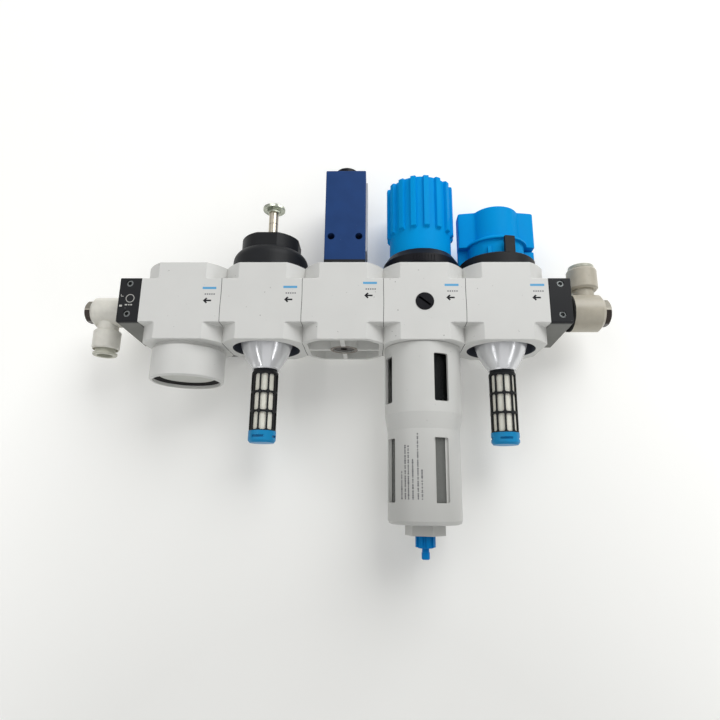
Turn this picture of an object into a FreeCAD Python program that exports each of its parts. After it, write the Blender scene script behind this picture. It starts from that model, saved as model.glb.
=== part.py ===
"""A five-module compressed-air service unit that hangs on a wall by two brackets.

From the outlet on the left to the inlet on the right: soft-start valve, solenoid on-off valve, branching
module with a pressure switch, filter regulator, hand-operated shut-off valve. A black end plate and a
swivelling push-in elbow close the row at each end. Air flows from right to left.

Every piece is drawn in the line frame, in millimetres: X along the row, Y from the front to the wall, Z up,
with its origin on the centre line of the air passage, in the middle of the middle module. The last step moves
each piece to the part's own frame, whose origin is midway between the two wall screw holes, on the wall.
"""
import FreeCAD, Part
import math
import os
from FreeCAD import Vector

# ---------------------------------------------------------------- driving dimensions, mm
module_w = 55.0          # one module along the row
module_d = 55.0          # front to back
module_h = 55.0
band_h = 31.4            # full-width band across the middle of each module
front_flat_w = 32.5      # flat column between the rounded corners of a module
edge_r = 0.7             # rounded outer edges of the castings
fit_gap = 0.05           # radial clearance of a turned fit
slide_gap = 0.3          # clearance of loose moving fits
small_bevel = 0.6

# air passage and valve seats, alike in every valve module
line_r = 8.0
web_t = 4.0              # wall with the valve seat, across the middle
seat_r = 7.0
chamber_r = 14.0
upper_chamber_h = 10.0
lower_chamber_h = 14.0
passage_w = 10.0         # slots that join the line bores to the chambers
top_bore_r = 12.0
spigot_clear_h = 2.0     # room above the upper chamber, under a spigot
seal_in_r = 9.7
seal_out_r = 12.2
seal_t = 1.5
poppet_r = 10.0
poppet_t = 4.0
stem_r = 4.0
poppet_lift = 3.0
poppet_spring_r = 6.5    # to the middle of the wire
poppet_spring_wire = 1.4

# end plates and the screws that clamp them
plate_t = 15.0
plate_d = 49.5
plate_back_h = 38.0      # the plate grows from the band's height at the front to this
plate_boss_r = 11.0
plate_boss_l = 6.3
thread_depth = 12.8      # from the boss's mouth
plate_screw_z = 10.85
plate_screw_rise = 0.9   # both screws above the line's own height
plate_screw_x = 8.1      # from the module's side
plate_screw_head_r = 2.3
plate_screw_head_h = 3.2
plate_screw_shank_r = 1.95
plate_screw_l = 22.0
plate_screw_sink = 0.6
plate_screw_af = 2.6

# wall brackets
bracket_t = 4.0
bracket_w = 24.0
bracket_foot = 24.4      # below the line
hole_rise = 36.0         # wall holes above the line
hole_r = 2.75
bracket_end_w = 7.0      # metal beyond the hole's centre
bracket_screw_x = 6.0
bracket_screw_r = 2.0
bracket_screw_head_r = 3.8
bracket_screw_l = 14.0
bracket_cross_r = 2.6

# push-in elbows: inlet for a 12 mm tube, outlet for a 10 mm tube
inlet_elbow_size = dict(side=1, tube_r=6.0, body_r=13.2, neck_r=7.4, neck_l=3.6, collar_r=10.4, collar_l=15.6,
                        thread_r=8.3, hex_af=17.6, flange_r=8.8, flange_t=2.4, proud=3.0)
outlet_elbow_size = dict(side=-1, tube_r=5.0, body_r=10.9, neck_r=7.2, neck_l=2.9, collar_r=9.3,
                         collar_l=14.2, thread_r=6.6, hex_af=14.7, flange_r=8.2, flange_t=1.7, proud=4.3)
elbow_w = 21.8
collar_offset = 10.8     # collar axis from the elbow's inner face
elbow_chamfer = 2.6
collar_edge = 1.3
gasket_t = 1.3
bolt_head_t = 4.6
bolt_hex_turn = 30.0     # degrees, a corner to the front
bolt_bore_r = 4.0
tube_clearance = 0.05    # radial, between the tube and its socket
sleeve_wall = 1.9        # release ring's sleeve
release_travel = 1.2

# soft-start valve
cup_r = 25.3
cup_neck_r = 23.6
cup_neck_h = 2.0
cup_bottom = 23.9        # below the module
cup_spigot_r = 21.0
cup_spigot_wall = 3.0
cup_bore_r = 22.0
cup_rim_r = 23.0         # inside of the open rim
cup_rim_depth = 5.3
cup_roof_z = 3.5         # roof of the bore, below the module
cup_bevel = 1.0
end_disc_r = 19.6
end_disc_t = 5.4
end_flange_t = 2.5
end_disc_proud = 1.6     # disc below the step inside the rim
end_seal_in_t = 1.8      # seal's lip, at the disc and at the rim
end_seal_out_t = 3.1
piston_t = 3.0
piston_gap = 2.0         # piston to end disc, at rest
cap_r = 20.0
cap_t = 2.5
flow_screw_r = 3.0
flow_screw_head_r = 5.0
flow_screw_head_h = 3.5
slot_w = 1.2

# solenoid valve top
flange_r = 27.2          # black flanges on top of the modules
pilot_rim_h = 8.0
pilot_brim = (24.9, 14.0)  # radius and height of the bulge half way up the brim
pilot_brim_h = 16.5      # top of the brim above the module
pilot_r = 21.8
pilot_flat = 20.6        # flats on the round cover
pilot_h = 26.4
tube_r = 3.5
tube_bore_r = 2.6
tube_top = 56.5          # above the module
tube_foot = 16.0
armature_l = 20.0
armature_lift = 0.8
armature_spring_wire = 0.6
nut_flange_r = 8.25
nut_flange_t = 2.2
nut_hex_af = 9.4
nut_hex_h = 2.6
groove_w = 0.8

# exhaust cones and silencers
recess_r = 23.5
cone_r = 18.5
cone_straight_h = 7.0
cone_tip_r = 9.4
cone_bulge = 0.62        # share of the taper still to come, half way down
cone_tip = 15.0          # below the module
cone_bore_r = 5.0
nipple_r = 6.5
nipple_l = 8.0
cage_r = 9.15
cage_wall = 1.4
cage_collar_r = 8.3
cage_collar_h = 0.8
cage_shoulder_h = 2.2
cage_l = 39.8            # barred length, below the shoulder
cage_columns = 10
cage_turn = 10.0         # degrees, first window to the right of the front
cage_rows = 3
cage_bar = 1.3
element_gap = 0.05
cap_overhang = 0.3       # radial, cap beyond the cage
silencer_cap_h = 7.9
silencer_cap_chamfer = 1.5
cap_slot_w = 8.0
cap_slot_h = 1.5
cap_slot_depth = 1.7
cap_turn = -8.0          # degrees, first slot to the right of the front

# branching module and pressure switch
pocket_depth = 9.0
pocket_wall = 3.0
rib_t = 3.0
boss_r = 9.6
plug_r = 7.8
plug_l = 9.0
plug_sink = 0.8
plug_socket_af = 5.0
plug_socket_depth = 5.0
branch_r = 6.0
switch_w = 29.5
switch_base_h = 7.8
switch_h = 71.2
switch_nipple_r = 6.5
switch_nipple_l = 8.0
switch_hole_r = 2.6
switch_hole_pitch = 20.0
switch_hole_z = 18.0     # above the switch's own foot
connector_r = 8.6
connector_h = 6.8
connector_bore_r = 5.2
connector_bore_depth = 5.0
connector_pin_r = 0.5
connector_pin_pitch_r = 2.5
connector_pins = 4
side_cover_t = 1.3
side_cover_w = 22.0
side_cover_h = 56.0
switch_piston_r = 3.0
switch_piston_l = 9.0
switch_stroke = 0.6

# filter regulator, top
bonnet_rim_h = 7.0
bonnet_top = 12.0        # top of the ring above the module
bonnet_mouth_r = 22.9
bonnet_slope_r = 23.9
bonnet_ribs = 9
bonnet_rib_pitch = 4.2   # degrees
bonnet_rib = 0.5
sleeve_out_r = 19.6
sleeve_in_r = 17.4
sleeve_top = 52.0        # above the module
sleeve_roof_t = 4.0
bonnet_floor_t = 3.5
diaphragm_r = 22.4
diaphragm_t = 1.6
diaphragm_seat = 11.5    # below the module's top
sense_r = 18.0
spring_cup_r = 15.0
spring_cup_t = 2.0
main_spring_r = 11.5
main_spring_wire = 3.0
plate_rest = 31.0        # spring plate's underside above the module, spring relaxed
spring_plate_r = 17.1
spring_plate_t = 3.0
spring_plate_boss_r = 6.0
spring_plate_boss_h = 5.0
key_w = 4.0
spindle_r = 3.0
spindle_foot = 21.0      # above the module
spindle_collar_r = 7.0
spindle_collar_t = 3.0
spindle_neck_r = 4.0
spindle_square = 6.4
spindle_square_l = 10.0
knob_foot = 8.6
knob_top = 69.2
knob_r = 22.4
knob_wall = 2.1
knob_roof_t = 3.5
knob_hub_r = 8.0
knob_rib_r = 24.6
knob_rib_w = 4.2
knob_ribs = 16
knob_rib_turn = 6.9      # degrees, first rib to the right of the front
knob_edge = 1.2
knob_dish_r = 18.0       # shallow hollow in the top
knob_dish_depth = 1.0
knob_rib_foot = 29.2
knob_pull = 3.0
gauge_plug_r = 6.2
gauge_plug_l = 8.0
gauge_port_z = -0.8

# filter regulator, bottom
valve_travel = 1.5
valve_stem_r = 2.0
valve_spring_r = 6.0
valve_spring_wire = 1.1
bowl_bore_r = 24.3
bowl_bore_depth = 9.5
guard_gap = 0.3
guard_r = 26.2
guard_lower_r = 24.3
guard_wall = 1.8
guard_spigot_h = 6.0
guard_ring_h = 4.0       # thick ring at the top, around the bowl
guard_taper_top = 47.0   # below the module
guard_taper_foot = 57.5
guard_foot = 117.3
guard_corner = 2.5
guard_floor_t = 2.5
window_w = 10.3
window_columns = 4
window_turn = 23.0       # degrees, first window to the right of the front
upper_window = (8.2, 40.0)     # below the module
lower_window = (63.2, 103.8)
window_corner = 1.2
bowl_r = 22.2
bowl_wall = 2.0
bowl_boss_r = 9.0
bowl_boss_bore_r = 4.1
bowl_top_gap = 1.2
hex_af = 23.0
hex_turn = -13.0         # degrees
hex_h = 6.9
drain_gap = 0.4
drain_r = 6.5
drain_h = 7.4
drain_ribs = 8
drain_bevel = 0.6
drain_shaft_r = 4.0
drain_shaft_l = 9.0
barb_r = 2.65
barb_l = 7.0
barb_neck_r = 2.3
barb_neck_l = 2.6
drain_bore_r = 1.2
baffle_neck_h = 2.0
baffle_gap = 1.2         # radial, disc to bowl
baffle_disc_t = 4.0
baffle_stud_r = 5.0
baffle_duct_r = 3.5
baffle_duct_l = 9.0
baffle_port_r = 2.0
swirl_slots = 16
swirl_w = 2.4
skirt_inset = 0.5        # radial, skirt inside the disc's edge
skirt_wall = 1.2
skirt_h = 34.0
skirt_notches = 8
skirt_notch_w = 5.0
skirt_notch_h = 5.0
element_wall = 4.5
element_inset = 2.5      # radial, element inside the retainer's edge
element_l = 46.0
retainer_t = 4.0
retainer_gap = 3.2       # radial, retainer to bowl

# hand shut-off valve
index_h = 8.2
tab_w = 7.1
tab_in_r = 23.7
tab_out_r = 26.2
tab_h = 20.5             # above the module
tab_turn = 10.0          # degrees to the right of the front
handle_foot = 9.0        # above the module
handle_step = 21.0       # underside of the skirt and wings
handle_top = 48.2
handle_core_r = 20.0
handle_r = 17.0          # upper middle part
handle_skirt_r = 22.2
handle_skirt_h = 1.2
handle_flare_h = 3.2
handle_w = 54.6
handle_tip_t = 10.4      # wings' thickness at their ends and at their roots
handle_root_t = 15.6
handle_edge_r = 1.8
handle_wall = 3.0
leg_in = 17.0            # inner side of the wings' lower legs, from the axis
right_leg_foot = 11.5
tab_room = 0.8           # left leg to the tab, valve shut
padlock_slot_h = 2.8
padlock_slot_z = 18.8
padlock_slot_in = 18.5   # from the axis
padlock_slot_out = 26.2
padlock_slot_depth = 4.5
rest_rib_w = 3.0
rest_rib_turn = -24.0
spindle_stem_r = 5.0
spindle_head = 12.0      # square drive in the handle
spindle_drive = 7.0
spool_open = 3.0         # poppet lift at rest, valve open

# ---------------------------------------------------------------- worked out from the values above
half_w = module_w / 2
half_d = module_d / 2
half_h = module_h / 2
soft_start_x, solenoid_x, branch_x, regulator_x, shutoff_x = [module_w * k for k in (-2, -1, 0, 1, 2)]
row_end = module_w * 2.5
corner_r = math.hypot(front_flat_w / 2, half_d)
web_top = web_t / 2
upper_top = web_top + upper_chamber_h
lower_foot = -web_top - lower_chamber_h
spigot_foot = upper_top + spigot_clear_h
poppet_top = web_top + poppet_t
bracket_x = (-1.5 * module_w, 1.5 * module_w)
plate_outer = row_end + plate_t
boss_end = plate_outer + plate_boss_l
elbow_inner = boss_end + gasket_t
elbow_outer = elbow_inner + elbow_w
silencer_cap_r = cage_r + cap_overhang
bowl_in_r = bowl_r - bowl_wall
baffle_disc_r = bowl_in_r - baffle_gap
skirt_r = baffle_disc_r - skirt_inset
retainer_r = bowl_in_r - retainer_gap
element_r = retainer_r - element_inset
element_bore_r = element_r - element_wall
frame_shift = Vector(0, -(bracket_t + half_d), -hole_rise)


# ---------------------------------------------------------------- helpers
def block(x0, x1, y0, y1, z0, z1):
    """A box between two corners."""
    return Part.makeBox(x1 - x0, y1 - y0, z1 - z0, Vector(x0, y0, z0))


def rod(r, z0, z1, x=0.0, y=0.0):
    """An upright cylinder from z0 to z1."""
    return Part.makeCylinder(r, z1 - z0, Vector(x, y, z0), Vector(0, 0, 1))


def rod_x(r, x0, x1, y=0.0, z=0.0):
    """A cylinder along X from x0 to x1."""
    return Part.makeCylinder(r, x1 - x0, Vector(x0, y, z), Vector(1, 0, 0))


def rod_y(r, y0, y1, x=0.0, z=0.0):
    """A cylinder along Y from y0 to y1."""
    return Part.makeCylinder(r, y1 - y0, Vector(x, y0, z), Vector(0, 1, 0))


def turned(points):
    """A closed outline of (radius, z) points, turned about the Z axis."""
    wire = Part.makePolygon([Vector(r, 0, z) for r, z in points + points[:1]])
    return Part.Face(wire).revolve(Vector(0, 0, 0), Vector(0, 0, 1), 360)


def hexagon(af, z0, z1):
    """An upright hexagonal prism, af across its flats."""
    corner = af / math.sqrt(3)
    angles = [math.radians(60 * k) for k in range(7)]
    wire = Part.makePolygon([Vector(corner * math.cos(a), corner * math.sin(a), z0) for a in angles])
    return Part.Face(wire).extrude(Vector(0, 0, z1 - z0))


def along_x(shape, x):
    """Lays an upright piece along +X, with its z = 0 at x."""
    laid = shape.copy()
    laid.rotate(Vector(0, 0, 0), Vector(0, 1, 0), 90)
    laid.translate(Vector(x, 0, 0))
    return laid


def at(shape, x=0.0, y=0.0, z=0.0):
    """A copy moved by x, y, z."""
    moved = shape.copy()
    moved.translate(Vector(x, y, z))
    return moved


def spun(shape, degrees):
    """A copy turned about the Z axis, anticlockwise seen from above."""
    moved = shape.copy()
    moved.rotate(Vector(0, 0, 0), Vector(0, 0, 1), degrees)
    return moved


def ring_of(shape, count, first=0.0):
    """count copies of a shape, evenly spaced about the Z axis, as a list."""
    return [spun(shape, first + 360.0 * k / count) for k in range(count)]


def to_outlet(shape):
    """Turns a piece of the right-hand, inlet end half a turn about Y, to the outlet end."""
    moved = shape.copy()
    moved.rotate(Vector(0, 0, 0), Vector(0, 1, 0), 180)
    return moved


def spring(mean_r, wire, z0, z1, turns):
    """A coil spring of round wire between two flat seats at z0 and z1."""
    height = z1 - z0 - wire
    helix = Part.makeHelix(height / turns, height, mean_r)
    helix.translate(Vector(0, 0, z0 + wire / 2))
    section = Part.Wire(Part.makeCircle(wire / 2, Vector(mean_r, 0, z0 + wire / 2), Vector(0, 1, 0)))
    return Part.Wire(helix.Edges).makePipeShell([section], True, True)


def rounded(shape, radius, keep):
    """Rounds the edges for which keep(edge) is true."""
    return shape.makeFillet(radius, [e for e in shape.Edges if keep(e)])


# ---------------------------------------------------------------- module castings
def module_outline(z0, z1, inset=0.0):
    """The upright column: a square with its corners turned off by a circle."""
    column = block(-half_w + inset, half_w - inset, -half_d + inset, half_d - inset, z0, z1)
    return column.common(rod(corner_r - inset, z0, z1))


def casting():
    """Column and full-width band as one casting, with rounded outer edges and a seal groove on the left."""
    band = block(-half_w, half_w, -half_d, half_d, -band_h / 2, band_h / 2)
    body = module_outline(-half_h, half_h).fuse(band).removeSplitter()
    on_joint = half_w - 0.01

    def outer(edge):
        box = edge.BoundBox
        flat_on_side = min(abs(box.XMin), abs(box.XMax)) > on_joint
        return not flat_on_side and (box.YMin < -half_d + 0.01 or box.YMax > half_d - 0.01)

    body = rounded(body, edge_r, outer)
    groove = rod_x(seal_out_r, -half_w, -half_w + seal_t).cut(rod_x(seal_in_r, -half_w, -half_w + seal_t))
    return body.cut(groove)


def valve_passages(inlet_above):
    """Chambers above and below the seat, the seat's hole and the two line bores, as one cutting shape."""
    side = 1 if inlet_above else -1
    reach = chamber_r + 1.5
    slot_in = chamber_r - 4.0
    low, high = (-line_r + 1.0, -web_top), (web_top, line_r - 1.0)
    right, left = (high, low) if side > 0 else (low, high)
    cutters = [
        rod(chamber_r, web_top, upper_top),
        rod(chamber_r, lower_foot, -web_top),
        rod(seat_r, -web_top, web_top),
        rod_x(line_r, reach, half_w),
        rod_x(line_r, -half_w, -reach),
        block(slot_in, reach + 0.5, -passage_w / 2, passage_w / 2, right[0], right[1]),
        block(-reach - 0.5, -slot_in, -passage_w / 2, passage_w / 2, left[0], left[1]),
    ]
    return cutters[0].multiFuse(cutters[1:])


def soft_start_body():
    body = casting().cut(valve_passages(True))
    body = body.cut(rod(top_bore_r, upper_top, half_h))
    return body.cut(rod(cup_spigot_r, -half_h, lower_foot))


def exhaust_valve_body():
    """Body of the solenoid valve and of the hand valve: a wide round recess below, for the exhaust cone."""
    body = casting().cut(valve_passages(True))
    body = body.cut(rod(top_bore_r, upper_top, half_h))
    return body.cut(rod(recess_r, -half_h, lower_foot))


def branch_body():
    """Straight-through passage with a port above and a plugged port below, between stiffening ribs."""
    body = casting().cut(rod_x(line_r, -half_w, half_w))
    body = body.cut(rod(branch_r, 0, half_h))
    body = body.cut(rod(switch_nipple_r, half_h - switch_nipple_l, half_h))
    pocket = module_outline(-half_h, -half_h + pocket_depth, pocket_wall)
    ribs = [
        block(-half_w, half_w, -rib_t / 2, rib_t / 2, -half_h, half_h),
        block(-rib_t / 2, rib_t / 2, -half_d, half_d, -half_h, half_h),
        rod(boss_r, -half_h, half_h),
    ]
    body = body.cut(pocket.cut(ribs))
    body = body.cut(rod(plug_r, -half_h, -half_h + plug_sink + plug_l))
    return body.cut(rod(branch_r, -half_h, 0))


def regulator_body():
    """Inlet air goes down to the bowl, back up through the seat and out under the diaphragm."""
    body = casting().cut(valve_passages(False))
    seat = half_h - diaphragm_seat
    body = body.cut(rod(diaphragm_r + fit_gap, seat, half_h))
    body = body.cut(rod(sense_r, upper_top, seat))
    body = body.cut(rod(bowl_bore_r, -half_h, -half_h + bowl_bore_depth))
    body = body.cut(rod(chamber_r, -half_h, lower_foot))
    downcomer = block(chamber_r + 1.0, chamber_r + 5.0, -passage_w / 2, passage_w / 2, -half_h, -web_top)
    body = body.cut(downcomer)
    return body.cut(rod_y(gauge_plug_r, -half_d, -half_d + gauge_plug_l, 0, gauge_port_z))


def module_seals():
    seal = rod_x(seal_out_r, 0, seal_t).cut(rod_x(seal_in_r, 0, seal_t))
    return Part.makeCompound([at(seal, -row_end + module_w * k) for k in range(6)])


# ---------------------------------------------------------------- end plates, elbows, brackets
def plate_screw_levels(side):
    """Heights of a plate's two screws; side is -1 for the plate that is turned over to the outlet end."""
    rise = plate_screw_rise * side
    return rise - plate_screw_z, rise + plate_screw_z


def end_plate(size):
    """A block that grows towards the back, with a threaded boss for the elbow on its outer side."""
    front_h = band_h / 2
    back_h = plate_back_h / 2
    back = -half_d + plate_d
    outline = [(-half_d, -front_h), (back, -back_h), (back, back_h), (-half_d, front_h)]
    wire = Part.makePolygon([Vector(row_end, y, z) for y, z in outline + outline[:1]])
    plate = Part.Face(wire).extrude(Vector(plate_t, 0, 0))
    outer = plate_outer - 0.01
    plate = rounded(plate, edge_r, lambda e: e.BoundBox.YMax < -half_d + 0.01 or e.BoundBox.XMin > outer)
    plate = plate.fuse(rod_x(plate_boss_r, plate_outer - 1.0, boss_end))
    thread_r = size["thread_r"]
    plate = plate.cut(rod_x(thread_r + fit_gap, boss_end - thread_depth, boss_end))
    plate = plate.cut(rod_x(thread_r - 0.6, row_end, boss_end))
    for z in plate_screw_levels(size["side"]):
        x = row_end + plate_screw_x
        head_foot = -half_d + plate_screw_sink + plate_screw_head_h
        plate = plate.cut(rod_y(plate_screw_head_r + fit_gap, -half_d, head_foot, x, z))
        plate = plate.cut(rod_y(plate_screw_shank_r + fit_gap, -half_d, head_foot + plate_screw_l, x, z))
    return plate


def inlet_plate():
    """The inlet end's plate also holds the last seal, in a groove on its inner side."""
    groove = rod_x(seal_out_r, row_end, row_end + seal_t).cut(rod_x(seal_in_r, row_end, row_end + seal_t))
    return end_plate(inlet_elbow_size).cut(groove)


def plate_screws():
    """Four socket-head screws that clamp the end plates from the front."""
    head_top = plate_screw_head_h
    screw = rod(plate_screw_head_r, 0, head_top).fuse(rod(plate_screw_shank_r, -plate_screw_l, 0))
    screw = screw.cut(hexagon(plate_screw_af, head_top * 0.4, head_top)).removeSplitter()
    screw.rotate(Vector(0, 0, 0), Vector(1, 0, 0), 90)
    y = -half_d + plate_screw_sink + plate_screw_head_h
    places = [(s * (row_end + plate_screw_x), z * s) for s in (-1, 1) for z in plate_screw_levels(s)]
    return Part.makeCompound([at(screw, x, y, z) for x, z in places])


def port_gaskets():
    """The dark sealing ring between each end plate's boss and its elbow."""
    rings = []
    for size in (inlet_elbow_size, outlet_elbow_size):
        outer = rod_x(size["body_r"], boss_end, elbow_inner)
        rings.append(outer.cut(rod_x(size["thread_r"] + fit_gap, boss_end, elbow_inner)))
    return Part.makeCompound([rings[0], to_outlet(rings[1])])


def banjo_bolt(size):
    """Hollow bolt that the elbow turns on: hexagon head outside, thread in the end plate."""
    thread_r = size["thread_r"]
    inner = boss_end - thread_depth + 0.3
    head = along_x(spun(hexagon(size["hex_af"], 0, bolt_head_t), bolt_hex_turn), elbow_outer)
    limit = turned([(0, 0), (size["hex_af"] / 2 + 0.9, 0), (size["hex_af"] / 2 + 0.9, bolt_head_t - 1.0),
                    (size["hex_af"] / 2 - 0.4, bolt_head_t), (0, bolt_head_t)])
    head = head.common(along_x(limit, elbow_outer))
    bolt = head.fuse(rod_x(thread_r, inner, elbow_outer)).removeSplitter()
    outlet_x = elbow_inner + collar_offset
    bolt = bolt.cut(rod_x(bolt_bore_r, inner, outlet_x + bolt_bore_r))
    return bolt.cut(rod(bolt_bore_r - 0.5, -thread_r, thread_r, outlet_x))


def banjo_bolts():
    return Part.makeCompound([banjo_bolt(inlet_elbow_size), to_outlet(banjo_bolt(outlet_elbow_size))])


def elbow(size):
    """Ring that swivels on the bolt, with a neck and a collar that takes the tube."""
    body_r, neck_r, collar_r = size["body_r"], size["neck_r"], size["collar_r"]
    x = elbow_inner + collar_offset
    collar_foot = body_r + size["neck_l"]
    collar_top = collar_foot + size["collar_l"]
    ring = along_x(turned([(0, 0), (body_r, 0), (body_r, elbow_w - elbow_chamfer),
                           (body_r - elbow_chamfer, elbow_w), (0, elbow_w)]), elbow_inner)
    neck = rod(neck_r, 0, collar_foot + 1.0, x)
    edge = collar_edge
    collar = at(turned([(0, collar_foot), (collar_r - edge, collar_foot), (collar_r, collar_foot + edge),
                        (collar_r, collar_top - edge), (collar_r - edge / 2, collar_top),
                        (0, collar_top)]), x)
    body = ring.fuse([neck, collar]).removeSplitter()
    bolt_r = size["thread_r"]
    body = body.cut(rod_x(bolt_r + fit_gap, elbow_inner, elbow_outer))
    body = body.cut(rod_x(bolt_r + 1.2, x - bolt_bore_r, x + bolt_bore_r))
    socket_foot = collar_foot - 1.0
    sleeve_r = size["tube_r"] + sleeve_wall + slide_gap
    sleeve_foot = socket_foot + size["collar_l"] * 0.62
    body = body.cut(rod(bolt_bore_r, 0, socket_foot, x))
    body = body.cut(rod(size["tube_r"] + tube_clearance, socket_foot, collar_top, x))
    body = body.cut(rod(sleeve_r, sleeve_foot, collar_top, x))
    return body.cut(rod(size["flange_r"] + slide_gap, collar_top - release_travel - 0.4, collar_top, x))


def release_ring(size):
    """Ring that is pressed in to free the tube: a sleeve with a flange that stands out of the collar."""
    tube_r = size["tube_r"] + 0.3
    sleeve_r = size["tube_r"] + sleeve_wall
    collar_foot = size["body_r"] + size["neck_l"]
    top = collar_foot + size["collar_l"] + size["proud"]
    flange_foot = top - size["flange_t"]
    foot = collar_foot - 1.0 + size["collar_l"] * 0.62 + release_travel + 0.3
    bevel = 0.4
    ring = turned([(tube_r, foot), (sleeve_r, foot), (sleeve_r, flange_foot),
                   (size["flange_r"], flange_foot), (size["flange_r"], top - bevel),
                   (size["flange_r"] - bevel, top), (tube_r, top)])
    return at(ring, elbow_inner + collar_offset)


def wall_bracket():
    """A flat bar behind the joint of two modules, with one wall hole above them."""
    top = hole_rise + bracket_end_w
    bar = block(-bracket_w / 2, bracket_w / 2, half_d, half_d + bracket_t, -bracket_foot, top)
    bar = rounded(bar, bracket_t, lambda e: e.BoundBox.XLength < 0.01 and e.BoundBox.ZLength < 0.01
                  and e.BoundBox.ZMin > top - 0.01)
    bar = bar.cut(rod_y(hole_r, half_d, half_d + bracket_t, 0, hole_rise))
    back = half_d + bracket_t
    for x in (-bracket_screw_x, bracket_screw_x):
        sink = Part.makeCone(bracket_screw_r, bracket_screw_head_r, bracket_screw_head_r - bracket_screw_r,
                             Vector(x, back - bracket_screw_head_r + bracket_screw_r, 0), Vector(0, 1, 0))
        bar = bar.cut(rod_y(bracket_screw_r, half_d, back, x)).cut(sink)
    return bar


def bracket_screw():
    """Countersunk screw through a bracket into a module's back."""
    back = half_d + bracket_t
    head_h = bracket_screw_head_r - bracket_screw_r
    screw = Part.makeCone(bracket_screw_r, bracket_screw_head_r, head_h,
                          Vector(0, back - head_h, 0), Vector(0, 1, 0))
    screw = screw.fuse(rod_y(bracket_screw_r, back - bracket_screw_l, back - head_h)).removeSplitter()
    reach, half = bracket_cross_r, slot_w / 2
    cross = block(-reach, reach, back - slot_w, back, -half, half)
    return screw.cut(cross.fuse(block(-half, half, back - slot_w, back, -reach, reach)))


def wall_brackets():
    return Part.makeCompound([at(wall_bracket(), x) for x in bracket_x])


def bracket_screw_places():
    return [x + s * bracket_screw_x for x in bracket_x for s in (-1, 1)]


def bracket_screws():
    return Part.makeCompound([at(bracket_screw(), x) for x in bracket_screw_places()])


def drill_for_brackets(bodies):
    """Drills the brackets' screw holes in the backs of the module castings."""
    back = half_d + bracket_t
    holes = [rod_y(bracket_screw_r, back - bracket_screw_l, half_d, x) for x in bracket_screw_places()]
    return {name: body.cut(holes) for name, body in bodies.items()}


# ---------------------------------------------------------------- soft-start valve
def soft_start_cap():
    """Low cover on top, with a spigot that closes the valve chamber and carries the flow screw."""
    cap = turned([(0, spigot_foot), (top_bore_r - fit_gap, spigot_foot), (top_bore_r - fit_gap, half_h),
                  (cap_r, half_h), (cap_r, half_h + cap_t - 0.6), (cap_r - 0.6, half_h + cap_t),
                  (0, half_h + cap_t)])
    cap = cap.cut(rod(flow_screw_r + fit_gap, spigot_foot, half_h + cap_t))
    return cap.cut(rod(flow_screw_head_r + slide_gap, half_h - 1.0, half_h + cap_t))


def flow_screw():
    """Slotted throttle screw in the cap."""
    foot = half_h - 1.0
    screw = rod(flow_screw_head_r, foot, foot + flow_screw_head_h)
    screw = screw.fuse(rod(flow_screw_r, spigot_foot + 0.5, foot)).removeSplitter()
    top = foot + flow_screw_head_h
    return screw.cut(block(-flow_screw_head_r, flow_screw_head_r, -slot_w / 2, slot_w / 2, top - 1.5, top))


def cup_levels():
    """Heights of the cup: foot, step under the rim, roof of the bore."""
    foot = -half_h - cup_bottom
    return foot, foot + cup_rim_depth, -half_h - cup_roof_z


def soft_start_cup():
    """Round housing under the soft-start valve, open at the bottom."""
    foot, step, roof = cup_levels()
    spigot_top = lower_foot
    spigot_out = cup_spigot_r - fit_gap
    spigot_in = spigot_out - cup_spigot_wall
    neck = -half_h - cup_neck_h
    bevel = cup_bevel
    cup = turned([(0, -half_h), (spigot_in, -half_h), (spigot_in, spigot_top), (spigot_out, spigot_top),
                  (spigot_out, -half_h), (cup_neck_r, -half_h), (cup_neck_r, neck), (cup_r - bevel, neck),
                  (cup_r, neck - bevel), (cup_r, foot + bevel), (cup_r - bevel, foot), (cup_rim_r, foot),
                  (cup_rim_r, step), (cup_bore_r, step), (cup_bore_r, roof), (0, roof)])
    return cup.cut(rod(stem_r + fit_gap, roof, -half_h))


def end_disc_foot():
    """Underside of the raised middle of the end disc."""
    return cup_levels()[1] - end_disc_proud


def soft_start_end_disc():
    """Disc that closes the cup, a little way inside its rim."""
    step = cup_levels()[1]
    foot = end_disc_foot()
    top = foot + end_disc_t
    flange = cup_bore_r - fit_gap
    return turned([(0, top), (flange, top), (flange, max(step, top - end_flange_t)),
                   (end_disc_r, max(step, top - end_flange_t)), (end_disc_r, foot + 0.8),
                   (end_disc_r - 0.8, foot), (0, foot - 0.5)])


def soft_start_end_seal():
    """Black lip seal around the end disc, deeper at the rim."""
    step = cup_levels()[1]
    inner, outer = end_disc_r + fit_gap, cup_rim_r - fit_gap
    return turned([(inner, step), (outer, step), (outer, step - end_seal_out_t),
                   (inner, step - end_seal_in_t)])


def soft_start_piston():
    """Poppet, stem and pilot piston on one axis; it lifts to open the valve."""
    disc_foot = end_disc_foot() + end_disc_t + piston_gap
    disc_r = cup_bore_r - slide_gap
    return turned([(0, poppet_top), (poppet_r, poppet_top), (poppet_r, web_top), (stem_r, web_top),
                   (stem_r, disc_foot + piston_t), (disc_r, disc_foot + piston_t), (disc_r, disc_foot),
                   (0, disc_foot)])


def poppet_spring(lift=0.0):
    """Closing spring above a poppet."""
    return spring(poppet_spring_r, poppet_spring_wire, poppet_top + lift, spigot_foot, 3.5)


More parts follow.
